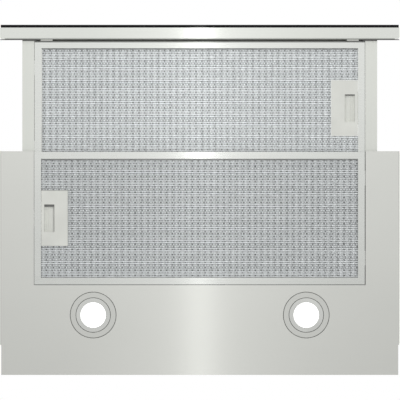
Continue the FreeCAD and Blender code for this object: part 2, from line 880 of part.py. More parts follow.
def lamp(side, word):
    # flush round lamp: ring clipped in the panel, can in the ring, glowing lens; drawn about its own axis
    x = lamp_x * side
    under = bottom - d.lamp_ring_gauge
    ring = new_body(f"lamp_ring_{word}")
    section = new_sketch(ring, "XZ_Plane")
    neck = lamp_hole - d.lamp_hole_play
    neck_top = bottom + d.lamp_neck_height
    polygon(
        section,
        [
            (d.lamp_inner_radius, under),
            (d.lamp_ring_radius, under),
            (d.lamp_ring_radius, bottom),
            (neck, bottom),
            (neck, neck_top),
            (d.lamp_inner_radius, neck_top),
        ],
    )
    revolve(ring, section)
    place(ring, x, lamp_y, 0)

    can = new_body(f"lamp_body_{word}")
    outline = new_sketch(can, "XZ_Plane")
    can_in = d.lens_radius + d.lens_play
    can_out = d.lamp_inner_radius - d.lens_play
    can_top = bottom + d.lamp_can_height
    lens_top = under + d.lens_gauge + d.lens_play
    polygon(
        outline,
        [
            (can_in, under),
            (can_out, under),
            (can_out, can_top),
            (0, can_top),
            (0, lens_top),
            (can_in, lens_top),
        ],
    )
    revolve(can, outline)
    place(can, x, lamp_y, 0)

    lens = new_body(f"lamp_lens_{word}")
    face = new_sketch(lens, "XZ_Plane")
    rectangle(face, (0, d.lens_radius), (under, under + d.lens_gauge))
    revolve(lens, face)
    place(lens, x, lamp_y, 0)


def net_face():
    # one holed face: staggered diamonds over the window, none under the latch
    half_x = float(filter_half_x - d.filter_gauge - d.seat_play)
    half_y = float(filter_half_y - d.filter_gauge - d.seat_play)
    open_x = float(filter_half_x - d.filter_border)
    open_y = float(filter_half_y - d.filter_border)
    notch_x = open_x - float(d.latch_width + d.seat_play)
    notch_y = float(d.latch_length / 2 + d.seat_play)
    corners = [
        (-half_x, -half_y),
        (half_x, -half_y),
        (half_x, -notch_y),
        (notch_x, -notch_y),
        (notch_x, notch_y),
        (half_x, notch_y),
        (half_x, half_y),
        (-half_x, half_y),
    ]

    def loop(points):
        vectors = [FreeCAD.Vector(a, b, 0) for a, b in points]
        return Part.makePolygon(vectors + vectors[:1])

    pitch_x = float(d.net_pitch_x)
    pitch_y = float(d.net_pitch_y)
    strand = float(d.net_strand)
    reach_x = pitch_x / 2 - strand * pitch_x / (2 * pitch_y)
    reach_y = pitch_y / 2 - strand / 2
    wires = [loop(corners)]
    columns = int(open_x * 2 / pitch_x) + 2
    rows = int(open_y * 2 / pitch_y) + 2
    for i in range(-columns, columns + 1):
        for j in range(-rows, rows + 1):
            if (i + j) % 2:
                continue
            x = i * pitch_x / 2
            y = j * pitch_y / 2
            beyond = abs(x) + reach_x > open_x or abs(y) + reach_y > open_y
            under_latch = x + reach_x > notch_x - strand and abs(y) - reach_y < notch_y + strand
            if beyond or under_latch:
                continue
            wires.append(loop([(x - reach_x, y), (x, y - reach_y), (x + reach_x, y), (x, y + reach_y)]))
    return Part.makeFace(wires, "Part::FaceMakerBullseye")


def grease_filter(word, turn, x, y, z):
    # drawn about its own centre with the underside at zero and the latch towards +X
    g = d.filter_gauge
    top = d.filter_height
    name = f"{word}_filter"

    def seat(obj, label):
        return node(place(obj, x, y, z, turn), label)

    whole_x = (-filter_half_x, filter_half_x)
    whole_y = (-filter_half_y, filter_half_y)
    outer = block(f"{name}_outer", whole_x, whole_y, (0, top))
    tabs = []
    tab_low = d.sheet + d.seat_play
    for side in (-1, 1):
        middle = d.tab_span / 2 * side
        spread = (middle - d.tab_width / 2, middle + d.tab_width / 2)
        reach = (-filter_half_x - d.tab_reach, -filter_half_x + g)
        tabs.append(block(f"{name}_tab", reach, spread, (tab_low, tab_low + d.tab_gauge)))
        bead_x = -opening_half - d.sheet / 2
        tabs.append(cross_bar(f"{name}_bead", d.tab_bead, bead_x, spread, tab_low + d.tab_gauge / 2))
    in_x = filter_half_x - g
    in_y = filter_half_y - g
    channel = block(f"{name}_channel", (-in_x, in_x), (-in_y, in_y), (g, top - g))
    open_x = filter_half_x - d.filter_border
    open_y = filter_half_y - d.filter_border
    window = block(f"{name}_window", (-open_x, open_x), (-open_y, open_y), (-g, top / 2))
    back_x = filter_half_x - d.filter_back_border
    back_y = filter_half_y - d.filter_back_border
    back = block(f"{name}_back", (-back_x, back_x), (-back_y, back_y), (top / 2, top + g))
    tongue_y = d.tongue_width / 2 + d.slot_play / 2
    slider_top = d.pocket_depth + d.slider_gauge
    slot_z = (tab_low - d.seat_play / 2, slider_top + d.slider_play)
    slot = block(f"{name}_slot", (filter_half_x - g * 2, filter_half_x + g), (-tongue_y, tongue_y), slot_z)
    frame = cut(f"{name}_cut", fuse(f"{name}_fused", outer, *tabs), channel, window, back, slot)
    seat(frame, f"{name}_frame")

    net = doc.addObject("Part::Feature", f"{name}_mesh")
    net.Shape = net_face().extrude(FreeCAD.Vector(0, 0, float(d.net_gauge)))
    place(net, x, y, z + g, turn)
    node(net, f"{name}_mesh")

    core_x = in_x - d.seat_play
    core_y = in_y - d.seat_play
    core_low = g + d.net_gauge + d.core_gap
    core_z = (core_low, core_low + d.core_height)
    slab = block(f"{name}_slab", (-core_x, core_x), (-core_y, core_y), core_z)
    plate_in = open_x - d.latch_width
    notch_y = d.latch_length / 2 + d.seat_play
    notch = block(f"{name}_notch", (plate_in - d.seat_play, filter_half_x), (-notch_y, notch_y), (0, top))
    seat(cut(f"{name}_pad", slab, notch), f"{name}_core")

    # latch housing: face plate with the finger pocket, and the guide for the slider behind it
    plate_out = open_x - d.seat_play
    plate_y = d.latch_length / 2
    face = block(f"{word}_latch_face", (plate_in, plate_out), (-plate_y, plate_y), (0, d.latch_gauge))
    guide_y = d.pocket_length / 2 + d.latch_shoulder
    guide_top = slider_top + d.slider_play + d.latch_wall
    guide_in = plate_in + d.latch_wall
    guide_out = filter_half_x - g - d.seat_play
    guide = block(f"{word}_latch_guide", (guide_in, plate_out), (-guide_y, guide_y), (0, guide_top))
    shelf = block(f"{word}_latch_shelf", (plate_out, guide_out), (-guide_y, guide_y), (g, guide_top))
    room_y = guide_y - d.latch_wall
    room_in = guide_in + d.latch_wall
    room_z = (d.pocket_depth - d.slider_play, slider_top + d.slider_play)
    room = block(f"{word}_latch_room", (room_in, filter_half_x), (-room_y, room_y), room_z)
    way_in = filter_half_x - d.tongue_root - d.slider_gauge / 2 - d.latch_travel - d.slider_play
    way = block(f"{word}_latch_way", (way_in, filter_half_x), (-tongue_y, tongue_y), slot_z)
    pocket_out = plate_out - d.pocket_inset
    pocket_in = pocket_out - d.pocket_width
    pocket_y = d.pocket_length / 2
    mouth_z = (-d.latch_gauge, d.pocket_depth)
    mouth = block(f"{word}_latch_mouth", (pocket_in, pocket_out), (-pocket_y, pocket_y), mouth_z)
    joined = fuse(f"{word}_latch_fused", face, guide, shelf)
    seat(cut(f"{word}_latch_cut", joined, room, way, mouth), f"{word}_latch_plate")

    # slider with a ribbed finger face and the tongue that reaches over the panel's edge
    slide_in = room_in + d.latch_travel + d.latch_spring_room
    slide_y = room_y - d.slider_play
    slide_z = (d.pocket_depth, slider_top)
    slide_out = filter_half_x - d.tongue_root
    body = block(f"{word}_slide_body", (slide_in, slide_out), (-slide_y, slide_y), slide_z)
    nose_x = (slide_out - d.slider_gauge / 2, filter_half_x + d.tongue_reach)
    nose_y = d.tongue_width / 2
    nose = block(f"{word}_slide_nose", nose_x, (-nose_y, nose_y), (d.sheet + d.seat_play, slider_top))
    ribs = []
    for number in range(3):
        high = pocket_out - d.seat_play - d.rib_pitch * number
        rib_y = pocket_y - d.slot_play * 2
        rib_z = (d.pocket_depth - d.rib_height, d.pocket_depth + d.rib_height)
        ribs.append(block(f"{word}_slide_rib", (high - d.rib_width, high), (-rib_y, rib_y), rib_z))
    seat(fuse(f"{word}_slide_fused", body, nose, *ribs), f"{word}_latch_slider")

    # bent leaf spring between the guide's end wall and the slider
    low = float(room_in)
    crown = float(slide_in)
    thick = float(d.leaf_gauge)
    span = float(d.leaf_span) / 2
    points = [(low, -span), (crown - thick, 0), (low, span)]
    points += [(low + thick, span), (crown, 0), (low + thick, -span)]
    leaf_z = float(d.pocket_depth + d.slider_play)
    corners = [FreeCAD.Vector(a, b, leaf_z) for a, b in points]
    rim = Part.makePolygon(corners + corners[:1])
    leaf = doc.addObject("Part::Feature", f"{word}_latch_spring")
    height = float(d.slider_gauge - d.slider_play * 2)
    leaf.Shape = Part.Face(rim).extrude(FreeCAD.Vector(0, 0, height))
    seat(leaf, f"{word}_latch_spring")


def drawer_frame():
    # two flanged rails beside the filter, a channel behind it and an angle behind the bar
    for side, word in ((-1, "left"), (1, "right")):
        rail = new_body(f"drawer_rail_{word}")
        section = new_sketch(rail, "XZ_Plane", -drawer_rear)
        flange = drawer_z + d.sheet
        web_in = web_out - d.sheet
        lip_in = rail_in - d.rail_lip
        polygon(
            section,
            [
                (rail_in * side, drawer_z),
                (rail_out * side, drawer_z),
                (rail_out * side, flange),
                (web_out * side, flange),
                (web_out * side, rail_top),
                (lip_in * side, rail_top),
                (lip_in * side, rail_top - d.sheet),
                (web_in * side, rail_top - d.sheet),
                (web_in * side, flange),
                (rail_in * side, flange),
            ],
        )
        pad(rail, section, drawer_rear - bar_back)

    inner = web_out - d.sheet
    back = new_body("drawer_rear_bar")
    section = new_sketch(back, "YZ_Plane", -inner)
    low = drawer_z + d.sheet
    high = low + d.rear_bar_height
    start = drawer_rear - d.rear_bar_depth
    polygon(
        section,
        [
            (start, low),
            (drawer_rear, low),
            (drawer_rear, low + d.sheet),
            (start + d.sheet, low + d.sheet),
            (start + d.sheet, high - d.sheet),
            (drawer_rear, high - d.sheet),
            (drawer_rear, high),
            (start, high),
        ],
    )
    pad(back, section, inner * 2)

    angle = new_body("drawer_front_angle")
    section = new_sketch(angle, "YZ_Plane", -inner)
    high = rail_top - d.front_angle_rise
    low = high - d.front_angle_height
    polygon(
        section,
        [
            (bar_back, low),
            (bar_back + d.sheet, low),
            (bar_back + d.sheet, high - d.sheet),
            (bar_back + d.front_angle_depth, high - d.sheet),
            (bar_back + d.front_angle_depth, high),
            (bar_back, high),
        ],
    )
    pad(angle, section, inner * 2)


key_x = half - d.key_margin
key_z = bottom / 2
key_count = 4
keys_half = d.key_pitch * (key_count - 1) / 2 + d.key_width / 2


def front_bar():
    # hollow extruded bar with a window for the keys, end caps, glass front and two soft buffers
    bar = new_body("front_bar")
    reach = half - d.cap_gauge
    section = new_sketch(bar, "YZ_Plane", -reach)
    rectangle(section, (bar_front, bar_back), (bottom, 0))
    rectangle(
        section, (bar_front + d.bar_wall, bar_back - d.bar_wall), (bottom + d.bar_wall, -d.bar_wall)
    )
    pad(bar, section, reach * 2)
    fillet(bar, d.bar_round, ("x", dict(y=bar_back, z=bottom)), ("x", dict(y=bar_back, z=0)))
    hole = new_sketch(bar, "XZ_Plane", -bar_front - d.bar_wall * 2)
    margin = d.key_flange + d.key_play * 2
    rectangle(
        hole,
        (key_x - keys_half - margin, key_x + keys_half + margin),
        (key_z - d.key_height / 2 - margin, key_z + d.key_height / 2 + margin),
    )
    window = pocket(bar, hole, d.bar_wall * 3)
    window.Reversed = True

    for side, word in ((-1, "left"), (1, "right")):
        cap = new_body(f"bar_end_cap_{word}")
        start = reach if side > 0 else -half
        outline = new_sketch(cap, "YZ_Plane", start)
        rectangle(outline, (bar_front, bar_back), (bottom, 0))
        pad(cap, outline, d.cap_gauge)
        fillet(cap, d.cap_corner, ("z", dict(x=half * side, y=bar_back)))
        inside = d.bar_wall + d.cap_play
        start = reach - d.cap_plug if side > 0 else -reach
        plug = new_sketch(cap, "YZ_Plane", start)
        rectangle(plug, (bar_front + inside, bar_back - inside), (bottom + inside, -inside))
        rectangle(
            plug,
            (bar_front + inside + d.bar_wall, bar_back - inside - d.bar_wall),
            (bottom + inside + d.bar_wall, -inside - d.bar_wall),
        )
        pad(cap, plug, d.cap_plug)

    glass = new_body("front_glass")
    outline = new_sketch(glass, "XZ_Plane", -bar_front)
    edge = half - d.glass_inset
    rectangle(outline, (-edge, edge), (bottom + d.glass_inset, -d.glass_inset))
    rectangle(
        outline,
        (key_x - keys_half - d.key_play, key_x + keys_half + d.key_play),
        (key_z - d.key_height / 2 - d.key_play, key_z + d.key_height / 2 + d.key_play),
    )
    pad(glass, outline, d.glass_gauge)

    pads = []
    low = bottom + d.buffer_rise
    for side in (-1, 1):
        x = (filter_half_x - d.buffer_inset) * side
        spread = (x - d.buffer_width / 2, x + d.buffer_width / 2)
        thick = (bar_back, bar_back + d.buffer_reach)
        pads.append(block("buffer", spread, thick, (low, low + d.buffer_height)))
    node(group("bar_buffers", *pads), "bar_buffers")


def keys():
    # four short stroke keys held behind the glass by their flanges, and the board that they press
    flange_back = bar_front + d.key_play / 3 + d.key_flange_gauge
    stem_end = flange_back + d.key_stem
    switch_face = stem_end + d.key_stroke + d.seat_play
    board_face = switch_face + d.switch_height
    for number in range(key_count):
        x = key_x - keys_half + d.key_width / 2 + d.key_pitch * number
        body = new_body(f"key_{number + 1}")
        cap = new_sketch(body, "XZ_Plane", -flange_back)
        wide = d.key_width / 2
        tall = d.key_height / 2
        rectangle(cap, (x - wide, x + wide), (key_z - tall, key_z + tall))
        pad(body, cap, flange_back - glass_front)
        flange = new_sketch(body, "XZ_Plane", -flange_back)
        lip = d.key_flange
        rectangle(flange, (x - wide - lip, x + wide + lip), (key_z - tall - lip, key_z + tall + lip))
        pad(body, flange, d.key_flange_gauge)
        stem = new_sketch(body, "XZ_Plane", -stem_end)
        thick = d.switch_width / 4
        rectangle(stem, (x - thick, x + thick), (key_z - thick, key_z + thick))
        pad(body, stem, d.key_stem)

    board = new_body("key_board")
    plate = new_sketch(board, "XZ_Plane", -board_face - d.board_gauge)
    reach = keys_half + d.board_margin
    tall = d.key_height / 2 + d.board_margin
    rectangle(plate, (key_x - reach, key_x + reach), (key_z - tall, key_z + tall))
    pad(board, plate, d.board_gauge)
    switches = new_sketch(board, "XZ_Plane", -board_face)
    for number in range(key_count):
        x = key_x - keys_half + d.key_width / 2 + d.key_pitch * number
        rectangle(
            switches,
            (x - d.switch_width / 2, x + d.switch_width / 2),
            (key_z - d.switch_width / 2, key_z + d.switch_width / 2),
        )
    pad(board, switches, d.switch_height)
    posts = new_sketch(board, "XZ_Plane", d.bar_wall - bar_back)
    for side in (-1, 1):
        x = key_x + (reach - d.switch_width / 2) * side
        thick = d.switch_width / 2
        rectangle(posts, (x - thick, x + thick), (key_z - thick, key_z + thick))
    pad(board, posts, bar_back - d.bar_wall - board_face)


channel_top = -d.runner_drop
channel_low = channel_top - d.runner_height
runner_mid = channel_top - d.runner_height / 2
channel_back = web_out + d.runner_depth + d.rail_gap


def runners():
    # each side: a lipped channel on a bracket under the deck, and a C slide on the drawer with nylon glides
    slide_end = bar_back + drawer_travel + d.slide_tail
    g = d.runner_gauge
    glides = []
    for side, word in ((-1, "left"), (1, "right")):
        bracket = new_body(f"runner_bracket_{word}")
        reach = rear - d.bracket_margin
        section = new_sketch(bracket, "XZ_Plane", -reach)
        leg = channel_back + d.bracket_gauge
        polygon(
            section,
            [
                (channel_back * side, channel_low),
                (leg * side, channel_low),
                (leg * side, under_deck - d.bracket_gauge),
                ((leg + d.bracket_foot) * side, under_deck - d.bracket_gauge),
                ((leg + d.bracket_foot) * side, under_deck),
                (channel_back * side, under_deck),
            ],
        )
        pad(bracket, section, reach * 2)

        channel = new_body(f"runner_channel_{word}")
        start = front + d.runner_margin
        section = new_sketch(channel, "XZ_Plane", d.runner_margin * 2 - rear)
        mouth = channel_back - d.runner_depth + d.rail_gap * 2
        polygon(
            section,
            [
                (mouth * side, channel_top),
                (channel_back * side, channel_top),
                (channel_back * side, channel_low),
                (mouth * side, channel_low),
                (mouth * side, channel_low + g + d.runner_lip),
                ((mouth + g) * side, channel_low + g + d.runner_lip),
                ((mouth + g) * side, channel_low + g),
                ((channel_back - g) * side, channel_low + g),
                ((channel_back - g) * side, channel_top - g),
                ((mouth + g) * side, channel_top - g),
                ((mouth + g) * side, channel_top - g - d.runner_lip),
                (mouth * side, channel_top - g - d.runner_lip),
            ],
        )
        pad(channel, section, rear - d.runner_margin * 2 - start)

        slide = new_body(f"runner_slide_{word}")
        section = new_sketch(slide, "XZ_Plane", -slide_end)
        high = runner_mid + d.slide_height / 2
        low = runner_mid - d.slide_height / 2
        tip = web_out + d.slide_depth
        polygon(
            section,
            [
                (web_out * side, low),
                (tip * side, low),
                (tip * side, low + g),
                ((web_out + g) * side, low + g),
                ((web_out + g) * side, high - g),
                (tip * side, high - g),
                (tip * side, high),
                (web_out * side, high),
            ],
        )
        pad(slide, section, slide_end - bar_back - d.runner_margin)

        inside = sorted([(mouth + g + d.glide_play) * side, tip * side], key=float)
        for start in (slide_end - d.slide_tail + d.runner_margin, slide_end - d.glide_length):
            run = (start, start + d.glide_length)
            glides.append(block("glide", inside, run, (high, channel_top - g - d.glide_play)))
            glides.append(block("glide", inside, run, (channel_low + g + d.glide_play, low)))
    node(group("runner_glides", *glides), "runner_glides")


base_panel()
deck_plate()
upper_casing()
outlet_collar()
flap("flap_front", 0)
flap("flap_rear", 180)
blower_shell("blower_shell_left", -1)
blower_shell("blower_shell_right", 1)
impeller()
motor()
electrics()
lamp(-1, "left")
lamp(1, "right")
grease_filter("front", 0, sized(0), front_y, drawer_z)
grease_filter("rear", 180, -d.rear_play, rear_y, bottom)
drawer_frame()
front_bar()
keys()
runners()

doc.recompute()
for obj in doc.Objects:
    if "Invalid" in obj.State or "Error" in obj.State:
        raise RuntimeError(f"{obj.Name} failed: {obj.State}")
os.makedirs("parts", exist_ok=True)
for obj in nodes:
    if obj.Shape.isNull() or not obj.Shape.isValid() or obj.Shape.Volume <= 0:
        raise RuntimeError(f"{obj.Label} has no valid solid")
for obj in nodes:
    obj.Shape.exportStep(f"parts/{obj.Label}.step")
    print(f"{obj.Label}: {len(obj.Shape.Solids)} solid, {obj.Shape.Volume / 1000:.1f} cm3")
print(f"{len(nodes)} nodes")
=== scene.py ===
import json
import math

import bmesh
import bpy
from mathutils import Matrix, Vector


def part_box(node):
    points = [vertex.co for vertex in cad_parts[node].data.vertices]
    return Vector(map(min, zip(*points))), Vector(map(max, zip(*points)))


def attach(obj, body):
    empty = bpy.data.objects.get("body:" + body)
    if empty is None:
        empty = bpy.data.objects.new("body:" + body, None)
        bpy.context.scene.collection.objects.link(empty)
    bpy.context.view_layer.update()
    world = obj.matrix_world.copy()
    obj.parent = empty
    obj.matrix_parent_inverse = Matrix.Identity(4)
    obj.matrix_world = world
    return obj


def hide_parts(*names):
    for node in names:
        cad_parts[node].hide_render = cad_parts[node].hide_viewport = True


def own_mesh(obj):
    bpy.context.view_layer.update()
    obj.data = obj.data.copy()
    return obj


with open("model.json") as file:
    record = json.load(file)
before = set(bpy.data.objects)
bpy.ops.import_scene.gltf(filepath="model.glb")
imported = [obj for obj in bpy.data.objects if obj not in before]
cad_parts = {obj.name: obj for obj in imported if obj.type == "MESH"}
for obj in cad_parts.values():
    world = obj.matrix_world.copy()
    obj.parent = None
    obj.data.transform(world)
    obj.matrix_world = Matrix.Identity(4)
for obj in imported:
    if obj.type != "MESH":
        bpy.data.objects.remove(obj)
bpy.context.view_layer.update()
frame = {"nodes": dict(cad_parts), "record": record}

nodes = frame["nodes"]
scene = bpy.context.scene
mm = 0.001
up = (0, 0, 1)
print("frame loaded,", len(nodes), "nodes")


# stage: camera, world, floor and lamps

stageValues = {
    "lens": 600.0,
    "sensor": 36.0,
    "clipEnd": 60.0,
    "viewWidth": 0.5988,  # metres across the picture at the underside
    "viewMiddle": (0.0004, -0.0719),
    "underside": -0.041,
    "floorLevel": -0.26,
    "floorHalf": 9.0,
    "floorGrey": 0.86,
    "floorFade": (0.35, 1.4),  # the floor turns to plain white between these distances
    "floorGlow": 0.65,  # share of plain white under the hood
    "ambient": 0.55,
}

lampValues = {
    # name: place, aim, size, watts
    "keyLamp": ((-1.1, -1.5, 1.7), (0.0, -0.05, 0.05), (1.3, 1.0), 15.0),
    "fillLamp": ((1.5, 0.7, 1.2), (0.0, -0.05, 0.05), (1.2, 1.2), 8.0),
    "rearLamp": ((-0.5, 1.9, 0.9), (0.0, 0.0, 0.08), (1.4, 0.8), 8.0),
    "frontUnderLamp": ((0.2, -2.07, -1.85), (0.2, -2.07, 0.0), (4.0, 4.0), 28.0),
    "frontStrip": ((0.0, -0.24, -0.24), (0.0, -0.24, 0.0), (0.02, 0.26), 0.055),
    "rearStrip": ((0.0, 0.08, -0.24), (0.0, 0.08, 0.0), (0.02, 0.36), 0.032),
    "glowStrip": ((0.0, -0.1, -0.8), (0.0, -0.1, 0.0), (0.25, 1.0), 0.25),
}


def link(name, data):
    thing = bpy.data.objects.new(name, data)
    scene.collection.objects.link(thing)
    return thing


def makeCamera():
    v = stageValues
    data = bpy.data.cameras.new("underCamera")
    data.lens = v["lens"]
    data.sensor_width = v["sensor"]
    data.clip_end = v["clipEnd"]
    camera = link("underCamera", data)
    away = v["viewWidth"] * v["lens"] / v["sensor"]
    camera.location = (*v["viewMiddle"], v["underside"] - away)
    camera.rotation_euler = (math.pi, 0, 0)  # looks straight up, the hood's front at the top
    scene.camera = camera


def makeWorld():
    world = bpy.data.worlds.new("studioWorld")
    world.use_nodes = True
    scene.world = world
    tree = world.node_tree
    tree.nodes.clear()
    path = tree.nodes.new("ShaderNodeLightPath")
    seen = path.outputs["Is Camera Ray"]
    for ray in ("Is Glossy Ray", "Is Transmission Ray"):
        add = tree.nodes.new("ShaderNodeMath")
        add.operation = "MAXIMUM"
        tree.links.new(seen, add.inputs[0])
        tree.links.new(path.outputs[ray], add.inputs[1])
        seen = add.outputs[0]
    ambient = tree.nodes.new("ShaderNodeBackground")
    ambient.inputs["Strength"].default_value = stageValues["ambient"]
    white = tree.nodes.new("ShaderNodeBackground")
    for background in (ambient, white):
        background.inputs["Color"].default_value = (1, 1, 1, 1)
    mix = tree.nodes.new("ShaderNodeMixShader")
    tree.links.new(seen, mix.inputs["Fac"])
    tree.links.new(ambient.outputs[0], mix.inputs[1])
    tree.links.new(white.outputs[0], mix.inputs[2])
    out = tree.nodes.new("ShaderNodeOutputWorld")
    tree.links.new(mix.outputs[0], out.inputs["Surface"])


def floorFinish():
    v = stageValues
    material = bpy.data.materials.new("paleFloor")
    material.use_nodes = True
    tree = material.node_tree
    tree.nodes.clear()
    paper = tree.nodes.new("ShaderNodeBsdfDiffuse")
    paper.inputs["Color"].default_value = (v["floorGrey"], v["floorGrey"], v["floorGrey"], 1)
    white = tree.nodes.new("ShaderNodeEmission")
    clear = tree.nodes.new("ShaderNodeBsdfTransparent")
    coords = tree.nodes.new("ShaderNodeTexCoord")
    reach = tree.nodes.new("ShaderNodeVectorMath")
    reach.operation = "LENGTH"
    fade = tree.nodes.new("ShaderNodeMapRange")
    fade.inputs["From Min"].default_value, fade.inputs["From Max"].default_value = v["floorFade"]
    fade.inputs["To Min"].default_value = v["floorGlow"]
    side = tree.nodes.new("ShaderNodeNewGeometry")
    pale = tree.nodes.new("ShaderNodeMixShader")
    under = tree.nodes.new("ShaderNodeMixShader")  # from below the floor isn't there
    out = tree.nodes.new("ShaderNodeOutputMaterial")
    tree.links.new(coords.outputs["Object"], reach.inputs[0])
    tree.links.new(reach.outputs["Value"], fade.inputs["Value"])
    tree.links.new(fade.outputs["Result"], pale.inputs["Fac"])
    tree.links.new(paper.outputs[0], pale.inputs[1])
    tree.links.new(white.outputs[0], pale.inputs[2])
    tree.links.new(side.outputs["Backfacing"], under.inputs["Fac"])
    tree.links.new(pale.outputs[0], under.inputs[1])
    tree.links.new(clear.outputs[0], under.inputs[2])
    tree.links.new(under.outputs[0], out.inputs["Surface"])
    return material


def makeFloor():
    v = stageValues
    bm = bmesh.new()
    bmesh.ops.create_grid(bm, x_segments=1, y_segments=1, size=v["floorHalf"])
    bmesh.ops.translate(bm, verts=bm.verts, vec=(0, 0, v["floorLevel"]))
    mesh = bpy.data.meshes.new("floor")
    bm.to_mesh(mesh)
    bm.free()
    mesh.materials.append(floorFinish())
    floor = link("floor", mesh)
    floor.visible_diffuse = False
    floor.visible_glossy = False
    floor.visible_transmission = False
    floor.visible_shadow = False


def makeLamps():
    for name, (place, aim, size, watts) in lampValues.items():
        data = bpy.data.lights.new(name, "AREA")
        data.shape = "RECTANGLE"
        data.size, data.size_y = size
        data.energy = watts
        lamp = link(name, data)
        lamp.location = place
        facing = Vector(aim) - Vector(place)
        lamp.rotation_euler = facing.to_track_quat("-Z", "Y").to_euler()
        lamp.visible_camera = False


scene.view_settings.view_transform = "Standard"
makeCamera()
makeWorld()
makeFloor()
makeLamps()
print("stage ready")


# finishes: the steps that all of them share

def newFinish(name, metallic, roughness, colour, **fixed):
    material = bpy.data.materials.new(name)
    material.use_nodes = True
    shader = material.node_tree.nodes["Principled BSDF"]
    shader.inputs["Metallic"].default_value = metallic
    shader.inputs["Roughness"].default_value = roughness
    shader.inputs["Base Color"].default_value = (*colour, 1)
    for socket, value in fixed.items():
        shader.inputs[socket].default_value = value
    return material


def pattern(material, kind, stretch=(1, 1, 1), output=0, **values):
    # a texture that stays with the piece
    tree = material.node_tree
    coords = tree.nodes.new("ShaderNodeTexCoord")
    mapping = tree.nodes.new("ShaderNodeMapping")
    mapping.inputs["Scale"].default_value = stretch
    texture = tree.nodes.new("ShaderNodeTex" + kind)
    for socket, value in values.items():
        texture.inputs[socket].default_value = value
    tree.links.new(coords.outputs["Object"], mapping.inputs["Vector"])
    tree.links.new(mapping.outputs["Vector"], texture.inputs["Vector"])
    return texture.outputs[output]


def tint(material, source, low, high, begin=0.3, end=0.7):
    # colour that follows a pattern
    tree = material.node_tree
    ramp = tree.nodes.new("ShaderNodeValToRGB")
    first, last = ramp.color_ramp.elements
    first.position, last.position = begin, end
    first.color, last.color = (*low, 1), (*high, 1)
    tree.links.new(source, ramp.inputs["Fac"])
    tree.links.new(ramp.outputs["Color"], tree.nodes["Principled BSDF"].inputs["Base Color"])


def vary(material, source, low, high, begin=0.3, end=0.7, socket="Roughness"):
    # roughness, or another value, that follows a pattern
    tree = material.node_tree
    spread = tree.nodes.new("ShaderNodeMapRange")
    for name, value in zip(("From Min", "From Max", "To Min", "To Max"), (begin, end, low, high)):
        spread.inputs[name].default_value = value
    tree.links.new(source, spread.inputs["Value"])
    tree.links.new(spread.outputs["Result"], tree.nodes["Principled BSDF"].inputs[socket])


def relief(material, source, depth):
    # fine bumps that follow a pattern
    tree = material.node_tree
    bump = tree.nodes.new("ShaderNodeBump")
    bump.inputs["Distance"].default_value = depth
    bump.inputs["Strength"].default_value = 1.0
    tree.links.new(source, bump.inputs["Height"])
    tree.links.new(bump.outputs["Normal"], tree.nodes["Principled BSDF"].inputs["Normal"])


def scaled(colour, factor):
    return tuple(c * factor for c in colour)


# finishes: brushed sheet, zinc and moulded plastic

brushValues = {
    "grain": (6, 700, 700),  # cells per metre, long along X
    "grainDetail": 3.0,
    "cloud": (3, 9, 9),
    "cloudDetail": 2.0,
    "swing": 0.02,  # of the colour, up and down
    "play": 0.03,  # of the roughness
    "depth": 0.01 * mm,
}

ownBrushing = {
    # what differs from the values above, by slot
    "panel_silver": {"grain": (9, 900, 900), "swing": 0.012, "play": 0.02, "depth": 0.004 * mm},
    "rail_silver": {"grain": (700, 6, 700)},
}

brushedFinishes = {
    # slot: name, colour, roughness
    "panel_silver": ("panelSilver", (0.475, 0.48, 0.455), 0.32),
    "bar_silver": ("barSilver", (0.46, 0.47, 0.445), 0.24),
    "cap_grey": ("capSilver", (0.46, 0.47, 0.445), 0.25),
    "rail_silver": ("railSilver", (0.485, 0.495, 0.465), 0.36),
    "filter_frame": ("frameAluminium", (0.475, 0.485, 0.465), 0.27),
    "lamp_ring": ("lampSatin", (0.437, 0.442, 0.42), 0.4),
    "bright_steel": ("brightSteel", (0.62, 0.62, 0.61), 0.25),
    # painted shade: a near black sheet for the zinc angle deep in the gap behind the bar
    "dark_steel": ("darkSteel", (0.14, 0.142, 0.132), 0.5),
}

zincValues = {
    "flowers": 130.0,  # crystals per metre
    "flowerShades": (0.88, 1.1),  # shares of the colour
    "flowerRange": (0.2, 0.8),
    "cloud": 26.0,
    "cloudDetail": 4.0,
    "play": (0.1, 0.12),  # of the roughness, down and up
    "depth": 0.04 * mm,
}

zincFinishes = {
    "zinc_steel": ("zincSteel", (0.52, 0.53, 0.54), 0.42),
    "motor_metal": ("motorZinc", (0.42, 0.42, 0.43), 0.45),
}

plasticValues = {
    "skin": 900.0,  # grains per metre
    "skinDetail": 2.0,
    "cloud": 14.0,
    "cloudDetail": 3.0,
    "swing": 0.1,  # of the colour, up and down
    "play": 0.07,  # of the roughness
    "depth": 0.05 * mm,
}

plasticFinishes = {
    "black_plastic": ("blackPlastic", (0.016, 0.016, 0.017), 0.5),
    "shell_plastic": ("shellPlastic", (0.06, 0.062, 0.066), 0.5),
    "wheel_plastic": ("wheelPlastic", (0.022, 0.022, 0.024), 0.42),
    "dark_rubber": ("darkRubber", (0.014, 0.014, 0.014), 0.75),
    "white_plastic": ("whitePlastic", (0.78, 0.78, 0.75), 0.42),
    "lamp_body": ("lampGrey", (0.68, 0.69, 0.66), 0.4),
    "latch_grey": ("latchGrey", (0.775, 0.785, 0.735), 0.45),
    "pale_buffer": ("paleBuffer", (0.72, 0.73, 0.69), 0.5),
    "key_plastic": ("keyPlastic", (0.03, 0.03, 0.032), 0.35),
    "board_green": ("boardGreen", (0.02, 0.12, 0.05), 0.4),
    # painted shade: the dark grey of the strips put where shade falls
    "shade_grey": ("shadeGrey", (0.15, 0.15, 0.145), 0.6),
}


